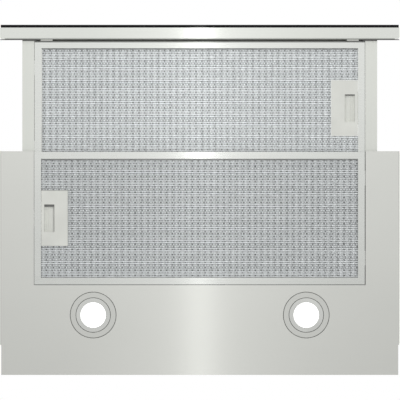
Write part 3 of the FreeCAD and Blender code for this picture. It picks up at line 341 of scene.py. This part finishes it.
def brushedMetal(name, colour, roughness, own):
    # rolled sheet with fine scratches
    v = {**brushValues, **own}
    material = newFinish(name, 1.0, roughness, colour)
    grain = pattern(material, "Noise", v["grain"], Scale=1.0, Detail=v["grainDetail"])
    cloud = pattern(material, "Noise", v["cloud"], Scale=1.0, Detail=v["cloudDetail"])
    tint(material, cloud, scaled(colour, 1 - v["swing"]), scaled(colour, 1 + v["swing"]))
    vary(material, grain, roughness - v["play"], roughness + v["play"])
    relief(material, grain, v["depth"])
    return material


def zincSheet(name, colour, roughness):
    # hot dip zinc with its crystal flowers
    v = zincValues
    material = newFinish(name, 1.0, roughness, colour)
    flowers = pattern(material, "Voronoi", output="Color", Scale=v["flowers"])
    cloud = pattern(material, "Noise", Scale=v["cloud"], Detail=v["cloudDetail"])
    low, high = (scaled(colour, share) for share in v["flowerShades"])
    tint(material, flowers, low, high, *v["flowerRange"])
    less, more = v["play"]
    vary(material, cloud, roughness - less, roughness + more)
    relief(material, cloud, v["depth"])
    return material


def mouldedPlastic(name, colour, roughness):
    v = plasticValues
    material = newFinish(name, 0.0, roughness, colour)
    skin = pattern(material, "Noise", Scale=v["skin"], Detail=v["skinDetail"])
    cloud = pattern(material, "Noise", Scale=v["cloud"], Detail=v["cloudDetail"])
    tint(material, cloud, scaled(colour, 1 - v["swing"]), scaled(colour, 1 + v["swing"]))
    vary(material, skin, roughness - v["play"], roughness + v["play"])
    relief(material, skin, v["depth"])
    return material


# finishes: glass strip and lamp lens

glassValues = {
    "colour": (0.002, 0.002, 0.002),
    "roughness": 0.06,
    "smearRoughness": (0.04, 0.12),  # clean and smeared
    "gloss": 0.1,
    "smear": 35.0,
    "smearDetail": 4.0,
}

lensValues = {
    "colour": (0.95, 0.95, 0.95),
    "roughness": 0.3,
    "glow": (1.1, 1.3),
    "ripple": 500.0,  # prisms per metre
    "rippleRange": (0.0, 0.7),
    "depth": 0.2 * mm,
}


def smearedGlass():
    v = glassValues
    gloss = {"Specular IOR Level": v["gloss"]}
    glass = newFinish("blackGlass", 0.0, v["roughness"], v["colour"], **gloss)
    smear = pattern(glass, "Noise", Scale=v["smear"], Detail=v["smearDetail"])
    vary(glass, smear, *v["smearRoughness"])
    return glass


def glowingLens():
    v = lensValues
    white = {"Emission Color": (1, 1, 1, 1)}
    lens = newFinish("lampLens", 0.0, v["roughness"], v["colour"], **white)
    ripple = pattern(lens, "Voronoi", output="Distance", Scale=v["ripple"])
    vary(lens, ripple, *v["glow"], *v["rippleRange"], "Emission Strength")
    relief(lens, ripple, v["depth"])
    return lens


# finishes: the filters' sheets; the outer sheets' colour follows their pleats as painted light and
# shade

filterBodies = {"front": "drawer", "rear": "rear_filter"}

meshValues = {
    # pitch along the row, pitch of two rows, plate length and width, shift of every other row,
    # width of the strands that tie the plates together, how much wider and narrower the rows are
    # in turn, and where the lattice begins on each filter
    "outer": {
        "pitch": 4.285 * mm, "rows": 7.79 * mm, "length": 2.8 * mm, "width": 1.45 * mm,
        "shift": 0.5, "strand": 0.22 * mm, "swing": 0.2 * mm,
        "front": (-1.37 * mm, -0.41 * mm), "rear": (2.1 * mm, 0.06 * mm),
    },
    "inner": {
        "pitch": 9.47 * mm, "rows": 6.34 * mm, "length": 9.2 * mm, "width": 1.9 * mm,
        "shift": 0.0, "strand": 0.9 * mm, "swing": 0.0,
        "front": (0.0, -0.33 * mm), "rear": (0.0, 1.36 * mm),
    },
    "gauge": 0.35 * mm,
    "lap": 0.1 * mm,  # how far a strand runs into its plates
    "pleat": (9.47 * mm, 0.3 * mm),  # pitch and height of the outer sheets' shallow pleats
    "crest": {"front": -1.04 * mm, "rear": 3.1 * mm},  # where a pleat is brightest
    "innerRise": 1.9 * mm,  # middle of the inner sheet above the outer one
    "notchPlay": 0.3 * mm,  # between the sheets and the latch plate
    "tuck": 5 * mm,  # the sheets end this far inside the solid's edge, under the frame's border
    "spare": 2,  # cells laid beyond the edges, then cut away
}

sheetValues = {
    "colour": (0.438, 0.451, 0.453),
    "roughness": 0.63,
    "play": 0.06,  # of the roughness
    "dust": 240.0,  # specks per metre
    "dustDetail": 3.0,
    # shares of the colour between which each layer varies; the levels are painted light and shade
    # of one aluminium: the core darker than the inner sheet as the shade behind it, and the rear
    # filter's sheets darker than the front ones
    "outer": {"front": (0.47, 1.18), "rear": (0.34, 1.14)},
    "inner": {"front": (1.77, 2.15), "rear": (1.59, 1.92)},
    "core": {"front": (1.6, 1.26), "rear": (1.36, 1.06)},
    "waveTurn": 20.0,  # radians that the wave pattern turns in one unit
    "glint": 330.0,  # painted glints along the inner ribbons, cells per metre
    "glintDetail": 1.0,
    "glintStretch": (0.6, 1.6, 1.0),
    "glintRange": (0.32, 0.68),
    "knit": 320.0,  # loops of the core per metre
    "knitStretch": (1.0, 0.7, 1.0),
    "knitRange": (0.1, 0.8),
    "knitDepth": 0.6 * mm,
}


def filterSheet(side, layer):
    v = sheetValues
    low, high = (scaled(v["colour"], share) for share in v[layer][side])
    sheet = newFinish(f"{side}_{layer}", 1.0, v["roughness"], low)
    dust = pattern(sheet, "Noise", Scale=v["dust"], Detail=v["dustDetail"])
    vary(sheet, dust, v["roughness"] - v["play"], v["roughness"] + v["play"])
    if layer == "outer":
        # painted light and shade of the pleats: lighter on the crests, darker in the valleys
        pitch = meshValues["pleat"][0]
        turn = -math.tau * (meshValues["crest"][side] / pitch - 0.5)
        waves = math.tau / v["waveTurn"] / pitch
        pleatShading = pattern(sheet, "Wave", Scale=waves, **{"Phase Offset": turn})
        tint(sheet, pleatShading, low, high, 0.0, 1.0)
    elif layer == "inner":
        # painted glints on the inner sheet's ribbons
        stretch, detail = v["glintStretch"], v["glintDetail"]
        glint = pattern(sheet, "Noise", stretch, Scale=v["glint"], Detail=detail)
        tint(sheet, glint, low, high, *v["glintRange"])
    else:
        knit = pattern(sheet, "Voronoi", v["knitStretch"], "Distance", Scale=v["knit"])
        tint(sheet, knit, low, high, *v["knitRange"])
        relief(sheet, knit, v["knitDepth"])
    return sheet


def makeFinishes():
    made = {"black_glass": smearedGlass(), "lamp_lens": glowingLens()}
    for slot, look in brushedFinishes.items():
        made[slot] = brushedMetal(*look, ownBrushing.get(slot, {}))
    for slot, look in zincFinishes.items():
        made[slot] = zincSheet(*look)
    for slot, look in plasticFinishes.items():
        made[slot] = mouldedPlastic(*look)
    for side in filterBodies:
        for layer in ("outer", "inner", "core"):
            made[f"{side}_{layer}"] = filterSheet(side, layer)
    made["filter_mesh"], made["filter_core"] = made["front_outer"], made["front_core"]
    return made


finishes = makeFinishes()
slotOf = {part["node"]: part["material_slot"] for part in frame["record"]["subparts"]}
# the angle in the gap behind the bar takes the near black sheet as painted shade of the deep gap
slotOf["drawer_front_angle"] = "dark_steel"
slotOf["rear_filter_core"] = "rear_core"
for name, piece in nodes.items():
    piece.data.materials.clear()
    piece.data.materials.append(finishes[slotOf[name]])
print("finishes on", len(nodes), "nodes")


# shapes that several pieces use

shapeValues = {
    "sharpAngle": 35.0,  # degrees, edges sharper than this stay crisp
    "mergeGap": 0.01 * mm,
    "barSegments": 2,  # round each edge of a bar
}


def addPiece(name, bm, finish, body, stands=(), smooth=True):
    # stands names the solids that the piece is shown in place of
    mesh = bpy.data.meshes.new(name)
    bm.to_mesh(mesh)
    bm.free()
    mesh.materials.append(finishes[finish])
    if smooth:
        mesh.shade_smooth()
        mesh.set_sharp_from_angle(angle=math.radians(shapeValues["sharpAngle"]))
    piece = link(name, mesh)
    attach(piece, body)
    if stands:
        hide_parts(*stands)
    return piece


def joined(parts):
    # several shapes as one
    whole = bmesh.new()
    for bm in parts:
        mesh = bpy.data.meshes.new("patch")
        bm.to_mesh(mesh)
        bm.free()
        whole.from_mesh(mesh)
        bpy.data.meshes.remove(mesh)
    return whole


def addBar(bm, low, high, rounding):
    # a bar between two corners, its edges rounded
    verts = bmesh.ops.create_cube(bm, size=1.0)["verts"]
    bmesh.ops.scale(bm, verts=verts, vec=Vector(high) - Vector(low))
    bmesh.ops.translate(bm, verts=verts, vec=(Vector(low) + Vector(high)) / 2)
    edges = list({edge for vert in verts for edge in vert.link_edges})
    bmesh.ops.bevel(
        bm, geom=edges, offset=rounding, segments=shapeValues["barSegments"], profile=0.5,
        affect="EDGES", material=-1, clamp_overlap=True,
    )


def turned(profile, place, steps, facing=up):
    # a closed outline turned about the axis that it faces along
    bm = bmesh.new()
    verts = [bm.verts.new((radius * mm, 0, height * mm)) for radius, height in profile]
    edges = [bm.edges.new(pair) for pair in zip(verts, verts[1:] + verts[:1])]
    bmesh.ops.spin(
        bm, geom=verts + edges, cent=(0, 0, 0), axis=up, angle=math.tau, steps=steps, use_merge=True
    )
    bmesh.ops.remove_doubles(bm, verts=bm.verts, dist=shapeValues["mergeGap"])
    bmesh.ops.recalc_face_normals(bm, faces=bm.faces)
    turn = Vector(up).rotation_difference(Vector(facing)).to_matrix()
    bmesh.ops.rotate(bm, verts=bm.verts, cent=(0, 0, 0), matrix=turn)
    bmesh.ops.translate(bm, verts=bm.verts, vec=place)
    return bm


# filter mesh: an expanded sheet in front, a sheet of slit ribbons behind it

def flatPlate(bm, middle, length, width):
    verts = bmesh.ops.create_grid(bm, x_segments=1, y_segments=1, size=0.5)["verts"]
    bmesh.ops.scale(bm, verts=verts, vec=(length, width, 1))
    bmesh.ops.translate(bm, verts=verts, vec=middle)


def meshCell(values):
    # two plates of neighbouring rows with the strands that tie them to the next ones
    bm = bmesh.new()
    long, rise = values["pitch"], values["rows"] / 2
    strand, lap = values["strand"], meshValues["lap"]
    for row in (0, 1):
        x = row * values["shift"] * long
        y = row * rise
        grow = values["swing"] * (1 - row * 2)
        flatPlate(bm, (x, y, 0), values["length"], values["width"] + grow)
        if values["shift"]:
            for side in (-1, 1):
                place = (x + side * long / 4, y + (rise + grow) / 2, 0)
                flatPlate(bm, place, strand, rise - values["width"] + lap * 2)
        else:
            flatPlate(bm, (x + long / 2, y, 0), long - values["length"] + lap * 2, strand)
    bmesh.ops.recalc_face_normals(bm, faces=bm.faces)
    bmesh.ops.solidify(bm, geom=bm.faces[:], thickness=meshValues["gauge"])
    return bm


def repeat(bm, step, count):
    # doubles the row until it is long enough
    made = 1
    while made < count:
        found = bmesh.ops.duplicate(bm, geom=bm.verts[:] + bm.edges[:] + bm.faces[:])
        moved = [g for g in found["geom"] if isinstance(g, bmesh.types.BMVert)]
        bmesh.ops.translate(bm, verts=moved, vec=Vector(step) * made)
        made *= 2


def cutAway(bm, place, outward):
    # takes off what lies beyond a plane and closes the cut
    everything = bm.verts[:] + bm.edges[:] + bm.faces[:]
    cut = bmesh.ops.bisect_plane(
        bm, geom=everything, plane_co=place, plane_no=outward, clear_outer=True
    )
    rim = [g for g in cut["geom_cut"] if isinstance(g, bmesh.types.BMEdge)]
    bmesh.ops.holes_fill(bm, edges=rim, sides=0)


def latticePatch(values, begin, xSpan, ySpan):
    # a patch of the sheet; all patches lie on the same lattice
    bm = meshCell(values)
    long, short, spare = values["pitch"], values["rows"], meshValues["spare"]
    firstX = math.floor(xSpan[0] / long) - spare
    firstY = math.floor(ySpan[0] / short) - spare
    corner = (begin[0] + firstX * long, begin[1] + firstY * short, 0)
    bmesh.ops.translate(bm, verts=bm.verts, vec=corner)
    repeat(bm, (long, 0, 0), math.ceil(xSpan[1] / long) - firstX + spare + 1)
    cutAway(bm, (xSpan[0], 0, 0), (-1, 0, 0))
    cutAway(bm, (xSpan[1], 0, 0), (1, 0, 0))
    repeat(bm, (0, short, 0), math.ceil(ySpan[1] / short) - firstY + spare + 1)
    cutAway(bm, (0, ySpan[0], 0), (0, -1, 0))
    cutAway(bm, (0, ySpan[1], 0), (0, 1, 0))
    if values["shift"]:
        # only the expanded sheet is pleated
        pitch, height = meshValues["pleat"]
        for vert in bm.verts:
            vert.co.z += height * math.cos(math.tau * vert.co.x / pitch)
    return bm


def meshSheet(values, begin, half, notch):
    # three patches round the notch for the latch plate
    x, y = half
    edge, span = notch
    return joined([
        latticePatch(values, begin, (-x, edge), (-y, y)),
        latticePatch(values, begin, (edge, x), (-y, -span)),
        latticePatch(values, begin, (edge, x), (span, y)),
    ])


def makeFilterMeshes():
    v = meshValues
    low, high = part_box("front_filter_mesh")
    half = ((high.x - low.x) / 2 - v["tuck"], (high.y - low.y) / 2 - v["tuck"])
    middle = (low + high) / 2
    low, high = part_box("front_latch_plate")
    notch = (low.x - middle.x - v["notchPlay"], (high.y - low.y) / 2 + v["notchPlay"])
    for layer in ("outer", "inner"):
        for side, body in filterBodies.items():
            # the rear filter is the front one turned round
            turn, way = (math.pi, -1) if side == "rear" else (0.0, 1)
            bm = meshSheet(v[layer], Vector(v[layer][side]) * way, half, notch)
            low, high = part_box(side + "_filter_mesh")
            middle = (low + high) / 2
            if layer == "inner":
                middle.z += v["innerRise"]
            spun = Matrix.Rotation(turn, 3, "Z")
            bmesh.ops.rotate(bm, verts=bm.verts, cent=(0, 0, 0), matrix=spun)
            bmesh.ops.translate(bm, verts=bm.verts, vec=middle)
            stands = (side + "_filter_mesh",) if layer == "outer" else ()
            name, finish = f"{side}_mesh_{layer}", f"{side}_{layer}"
            addPiece(name, bm, finish, body, stands, smooth=False)
    print("filter meshes made")


makeFilterMeshes()


# lamps: turned rings, seals and lenses

lampPieceValues = {
    "steps": 96,
    # profiles as radius and height above the ring's face, in millimetres
    "ring": ((26.0, 1.2), (26.0, 0.35), (26.35, 0.0), (33.7, 0.0), (34.15, 0.6), (34.15, 1.2)),
    "outerSeal": ((34.1, 1.2), (34.1, 0.85), (34.75, 0.85), (34.75, 1.2)),
    "innerSeal": ((25.35, 1.6), (25.35, 0.9), (26.05, 0.9), (26.05, 1.6)),
    "rim": ((18.8, 1.15), (18.8, 0.5), (19.2, 0.2), (19.9, 0.2), (19.9, 1.15)),
    "lens": (
        (0.0, 1.2), (0.0, 0.35), (4.0, 0.4), (8.0, 0.52), (12.0, 0.7), (16.0, 0.85), (19.6, 1.0),
        (19.6, 1.2),
    ),
}


def makeLampPieces():
    v = lampPieceValues
    for side in ("left", "right"):
        low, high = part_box("lamp_ring_" + side)
        middle = (low + high) / 2
        place = (middle.x, middle.y, low.z)
        ring = turned(v["ring"], place, v["steps"])
        addPiece(f"lamp_bezel_{side}", ring, "lamp_ring", "housing", (f"lamp_ring_{side}",))
        # dark rubber rings paint the shade in the gaps at the bezel's outer and inner edges
        for word in ("outer", "inner"):
            painted_shade = turned(v[word + "Seal"], place, v["steps"])
            addPiece(f"lamp_{word}_seal_{side}", painted_shade, "dark_rubber", "housing")
        rim = turned(v["rim"], place, v["steps"])
        addPiece(f"lamp_rim_{side}", rim, "lamp_body", "housing")
        lens = turned(v["lens"], place, v["steps"])
        addPiece(f"lamp_glass_{side}", lens, "lamp_lens", "housing", (f"lamp_lens_{side}",))
    print("lamp pieces made")


makeLampPieces()


# trim of the latches, of the gap behind the bar and of the filters' edges: dark strips of painted
# shade, and the frames' lips

trimValues = {
    "pocket": (20.2 * mm, 35.2 * mm),  # from the latch plate's inner edge
    "pocketHalf": 20.5 * mm,
    "pocketShadeLevel": (0.7 * mm, 2.1 * mm),  # above the plate's face
    "pocketShadeDepth": {"front": 1.7 * mm, "rear": 3.2 * mm},
    "rearPocketShadeSide": 0.6 * mm,
    "play": 0.1 * mm,
    "rounding": 0.25 * mm,
    "painted_shade": (0.5 * mm, 1.05 * mm),  # from the front frame's edge
    "paintedShadeRise": 0.25 * mm,
    "barPaintedShade": (1.2 * mm, 2.5 * mm),  # depth behind the bar, height
    "barPaintedShadeRise": 0.6 * mm,  # above the bar's underside
    "railSeal": (2.3 * mm, 0.3 * mm),  # depth behind the bar, thickness
    "border": 10.2 * mm,  # of the filter frames
    # shade strip at the front edge of each mesh: from the frame's inner edge, and above its face
    "frontShade": ((-0.55 * mm, 0.5 * mm), (-0.1 * mm, 0.6 * mm)),
    "rearShade": ((0.5 * mm, 1.6 * mm), (0.25 * mm, 0.62 * mm)),
    # lip of each frame over its mesh: width and depth
    "frontLip": (1.2 * mm, 0.65 * mm),
    "rearLip": (0.55 * mm, 0.65 * mm),
    "rearGapShade": (0.72 * mm, 1.05 * mm),  # beside the rear frame, on the opening's edge
    "rearGapShadeLevel": (0.1 * mm, 0.7 * mm),
    "tabReach": 4.0 * mm,  # of the tabs beyond the frame
}


def makeLatchPocketShades():
    # painted shade: dark strips at the front edges of the finger pockets, and along one side of the
    # rear pocket
    v = trimValues
    near, far = v["pocket"]
    for side, body in filterBodies.items():
        low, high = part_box(side + "_latch_plate")
        if side == "front":
            left, right = low.x + near, low.x + far
        else:
            left, right = high.x - far, high.x - near
        left, right = left + v["play"], right - v["play"]
        begin = (low.y + high.y) / 2 - v["pocketHalf"] + v["play"]
        bottom, top = (low.z + level for level in v["pocketShadeLevel"])
        bm = bmesh.new()
        addBar(bm, (left, begin, bottom), (right, begin + v["pocketShadeDepth"][side], top), v["rounding"])
        if side == "rear":
            end = begin + 2 * v["pocketHalf"] - 2 * v["play"]
            addBar(bm, (right - v["rearPocketShadeSide"], begin, bottom), (right, end, top), v["rounding"])
        addPiece(side + "_latch_pocket_shade", bm, "shade_grey", body)


def makeGapPaintedShade():
    # painted shade: a thin dark strip along the front frame's front edge, in the gap behind the bar
    v = trimValues
    low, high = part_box("front_filter_frame")
    reach, rise = min(-low.x, high.x), v["paintedShadeRise"]
    begin, end = (low.y + inset for inset in v["painted_shade"])
    bm = bmesh.new()
    addBar(bm, (-reach, begin, low.z - rise), (reach, end, low.z + rise), v["rounding"] / 2)
    addPiece("front_gap_painted_shade", bm, "shade_grey", "drawer")


def makeBarShade():
    # painted shade: a dark strip behind the bar and dark pads on the rails' front ends, where the
    # bar shades them
    v = trimValues
    low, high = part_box("front_bar")
    back, bottom = high.y, low.z + v["barPaintedShadeRise"]
    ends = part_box("bar_end_cap_right")[1].x - v["rounding"]
    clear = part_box("bar_buffers")[1].x + v["play"]
    reach, height = v["barPaintedShade"]
    bm = bmesh.new()
    for side in (-1, 1):
        left, right = sorted((side * clear, side * ends))
        addBar(bm, (left, back, bottom), (right, back + reach, bottom + height), v["rounding"])
    reach, thick = v["railSeal"]
    for side in ("left", "right"):
        low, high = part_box("drawer_rail_" + side)
        corner = (low.x, back, low.z - thick)
        addBar(bm, corner, (high.x, back + reach, low.z), v["rounding"] / 2)
    addPiece("bar_rear_painted_shade", bm, "shade_grey", "drawer")


def makeRimTrim():
    # shade strips at the front edges of the meshes and the frames' lips over them
    v = trimValues
    for side, body in filterBodies.items():
        low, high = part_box(side + "_filter_frame")
        reach = (high.x - low.x - v["tabReach"]) / 2 - v["border"]
        edge = low.y + v["border"]
        (begin, end), (bottom, top) = v[side + "Shade"]
        bm = bmesh.new()
        corner = (-reach, edge + begin, low.z + bottom)
        addBar(bm, corner, (reach, edge + end, low.z + top), v["rounding"] / 2)
        addPiece(side + "_rim_shade", bm, "shade_grey", body)
        width, depth = v[side + "Lip"]
        if side == "front":
            far = (width - reach, high.y - v["border"], low.z + depth)
        else:
            far = (reach, edge + width, low.z + depth)
        bm = bmesh.new()
        addBar(bm, (-reach, edge, low.z), far, v["rounding"])
        addPiece(side + "_frame_lip", bm, "filter_frame", body)


def makeRearGapShade():
    # painted shade: a dark strip on the opening's edge beside the rear frame
    v = trimValues
    low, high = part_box("rear_filter_frame")
    begin, end = (high.x - v["tabReach"] + inset for inset in v["rearGapShade"])
    bottom, top = (low.z + level for level in v["rearGapShadeLevel"])
    bm = bmesh.new()
    addBar(bm, (begin, low.y, bottom), (end, high.y, top), v["rounding"] / 2)
    addPiece("rear_gap_painted_shade", bm, "dark_rubber", "housing")


makeLatchPocketShades()
makeGapPaintedShade()
makeBarShade()
makeRimTrim()
makeRearGapShade()
print("trim made")


# latch springs: bowed leaves

springValues = {
    "segments": 16,
    "gauge": 0.4 * mm,
    "keep": 0.1,  # share of the bow that is left when the latch is open
}


def makeLatchSprings():
    v = springValues
    for side, body in filterBodies.items():
        node = side + "_latch_spring"
        low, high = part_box(node)
        middleY, middleZ = (low.y + high.y) / 2, (low.z + high.z) / 2
        foot, crown = (low.x, high.x) if side == "front" else (high.x, low.x)
        thick = math.copysign(v["gauge"], crown - foot)
        half = (high.y - low.y) / 2
        bm = bmesh.new()
        bmesh.ops.create_grid(bm, x_segments=1, y_segments=v["segments"], size=0.5)
        for vert in bm.verts:
            place, level = vert.co.y * 2, vert.co.x
            vert.co.x = foot + (crown - foot - thick) * (1 + math.cos(math.pi * place)) / 2
            vert.co.y = middleY + place * half
            vert.co.z = middleZ + level * (high.z - low.z)
        grown = bmesh.ops.extrude_face_region(bm, geom=bm.faces[:])
        moved = [g for g in grown["geom"] if isinstance(g, bmesh.types.BMVert)]
        bmesh.ops.translate(bm, verts=moved, vec=(thick, 0, 0))
        bmesh.ops.recalc_face_normals(bm, faces=bm.faces)
        leaf = addPiece(side + "_latch_leaf", bm, "bright_steel", body, (node,))
        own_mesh(leaf)
    print("latch springs made")


makeLatchSprings()


# fasteners, pressed beads and clamp rings on the casing

casingValues = {
    "steps": 12,
    # profiles as radius and height above the sheet, in millimetres
    "screw": (
        (0, 0.6), (1.2, 0.6), (1.4, 1.8), (2.6, 1.7), (3.4, 1.1), (3.6, 0), (3.6, -0.2), (0, -0.2),
    ),
    "rivet": ((0, 0.4), (0.8, 0.4), (0.9, 1.0), (2.1, 0.75), (3.0, 0), (3.0, -0.2), (0, -0.2)),
    "ring": ((74.8, 0), (75.5, 0.4), (75.8, 1.2), (75.5, 2.0), (74.8, 2.4)),
    "ringLevels": (27 * mm, 34 * mm),  # above the collar's foot
    "ringSteps": 96,
    "flange": 8 * mm,  # of the casing, under the deck
    "slit": 0.5 * mm,  # between the casing's wall and the deck
    "sideRivets": (-0.09, 0.0, 0.09),
    "longRivets": (-0.21, -0.105, 0.0, 0.105, 0.21),
    "collarRadius": 82.5 * mm,
    "collarFlange": 2 * mm,
    "collarScrews": 6,
    "boxInset": 11 * mm,
    "clipRivets": 8 * mm,  # above and below the middle of the clip
    "beadLevels": (0.05, 0.11),
    "beadWidth": 14 * mm,
    "beadEnd": 48 * mm,  # from the casing's corner
    "beadRise": 0.9 * mm,
    "beadRounding": 0.8 * mm,
}


def casingWalls():
    # outer faces of the side wall and of the long wall
    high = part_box("upper_casing")[1]
    return high.x - casingValues["flange"], high.y - casingValues["flange"]


def fasteners(profile, places):
    v = casingValues
    return joined([turned(v[profile], place, v["steps"], facing) for place, facing in places])


def makeRivets():
    v = casingValues
    wallX, wallY = casingWalls()
    rivetX, rivetY = (wall + (v["flange"] + v["slit"]) / 2 for wall in (wallX, wallY))
    places = [((side * rivetX, y, 0), up) for side in (-1, 1) for y in v["sideRivets"]]
    places += [((x, side * rivetY, 0), up) for side in (-1, 1) for x in v["longRivets"]]
    low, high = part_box("capacitor_clip")
    clip = (low + high) / 2
    for side in (-1, 1):
        places.append(((clip.x, wallY, clip.z + side * v["clipRivets"]), (0, 1, 0)))
    addPiece("casing_rivets", fasteners("rivet", places), "bright_steel", "housing")


def makeScrews():
    v = casingValues
    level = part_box("outlet_collar")[0].z + v["collarFlange"]
    places = []
    for number in range(v["collarScrews"]):
        angle = math.tau * (number + 0.5) / v["collarScrews"]
        x, y = math.cos(angle) * v["collarRadius"], math.sin(angle) * v["collarRadius"]
        places.append(((x, y, level), up))
    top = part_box("upper_casing")[1].z
    low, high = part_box("control_box")
    for x in (low.x + v["boxInset"], high.x - v["boxInset"]):
        for y in (low.y + v["boxInset"], high.y - v["boxInset"]):
            places.append(((x, y, top), up))
    addPiece("casing_screws", fasteners("screw", places), "bright_steel", "housing")


def makeBeads():
    v = casingValues
    wallX, wallY = casingWalls()
    longReach, sideReach = wallX - v["beadEnd"], wallY - v["beadEnd"]
    bm = bmesh.new()
    for level in v["beadLevels"]:
        bottom, top = level - v["beadWidth"] / 2, level + v["beadWidth"] / 2
        for side in (-1, 1):
            near, far = sorted(side * (wallY + rise) for rise in (-v["beadRise"], v["beadRise"]))
            addBar(bm, (-longReach, near, bottom), (longReach, far, top), v["beadRounding"])
            near, far = sorted(side * (wallX + rise) for rise in (-v["beadRise"], v["beadRise"]))
            addBar(bm, (near, -sideReach, bottom), (far, sideReach, top), v["beadRounding"])
    addPiece("casing_beads", bm, "zinc_steel", "housing")


def makeCollarRings():
    v = casingValues
    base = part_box("outlet_collar")[0].z
    rings = [turned(v["ring"], (0, 0, base + level), v["ringSteps"]) for level in v["ringLevels"]]
    addPiece("collar_rings", joined(rings), "black_plastic", "housing")


makeRivets()
makeScrews()
makeBeads()
makeCollarRings()
print("casing details made")


# keys: rounded caps with plain marks

keyValues = {
    "count": 4,
    "cap": (16 * mm, 10 * mm),
    "faceInset": 0.25 * mm,  # behind the glass's face
    "flange": (4.32 * mm, 5.72 * mm),  # from the glass's face
    "stem": 1.5 * mm,
    "rounding": 0.6 * mm,
    "markInset": 0.05 * mm,
    "markDepth": 0.5 * mm,
    "markBar": (5.0 * mm, 0.8 * mm),
    "markPitch": 1.9 * mm,
    "markRounding": 0.15 * mm,
    # profile of the lamp key's ring mark, in millimetres
    "markRing": ((1.6, 0), (1.6, 0.45), (2.3, 0.45), (2.3, 0)),
    "steps": 32,
}


def keyCap(low, high):
    # cap in front, flange behind the glass and a stem to the board
    v = keyValues
    x, z, face = (low.x + high.x) / 2, (low.z + high.z) / 2, low.y
    wide, tall = (side / 2 for side in v["cap"])
    begin, end = (face + depth for depth in v["flange"])
    stem, rounding = v["stem"], v["rounding"]
    bm = bmesh.new()
    addBar(bm, (x - wide, face + v["faceInset"], z - tall), (x + wide, end, z + tall), rounding)
    addBar(bm, (low.x, begin, low.z), (high.x, end, high.z), rounding / 2)
    addBar(bm, (x - stem, begin, z - stem), (x + stem, high.y, z + stem), rounding / 2)
    return bm


def keyMark(low, high, number):
    # a ring on the lamp's key, one to three bars on the speed keys
    v = keyValues
    x, z = (low.x + high.x) / 2, (low.z + high.z) / 2
    front = low.y + v["markInset"]
    back = front + v["markDepth"]
    if number == 1:
        return turned(v["markRing"], (x, back, z), v["steps"], (0, -1, 0))
    mark = bmesh.new()
    length, height = v["markBar"]
    for step in range(number - 1):
        level = z + (step - (number - 2) / 2) * v["markPitch"]
        corner = (x - length / 2, front, level - height / 2)
        addBar(mark, corner, (x + length / 2, back, level + height / 2), v["markRounding"])
    return mark


def makeKeys():
    for number in range(1, keyValues["count"] + 1):
        name = f"key_{number}"
        low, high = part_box(name)
        addPiece(f"key_cap_{number}", keyCap(low, high), "key_plastic", name, (name,))
        addPiece(f"key_mark_{number}", keyMark(low, high, number), "white_plastic", name)
    print("keys made")


makeKeys()
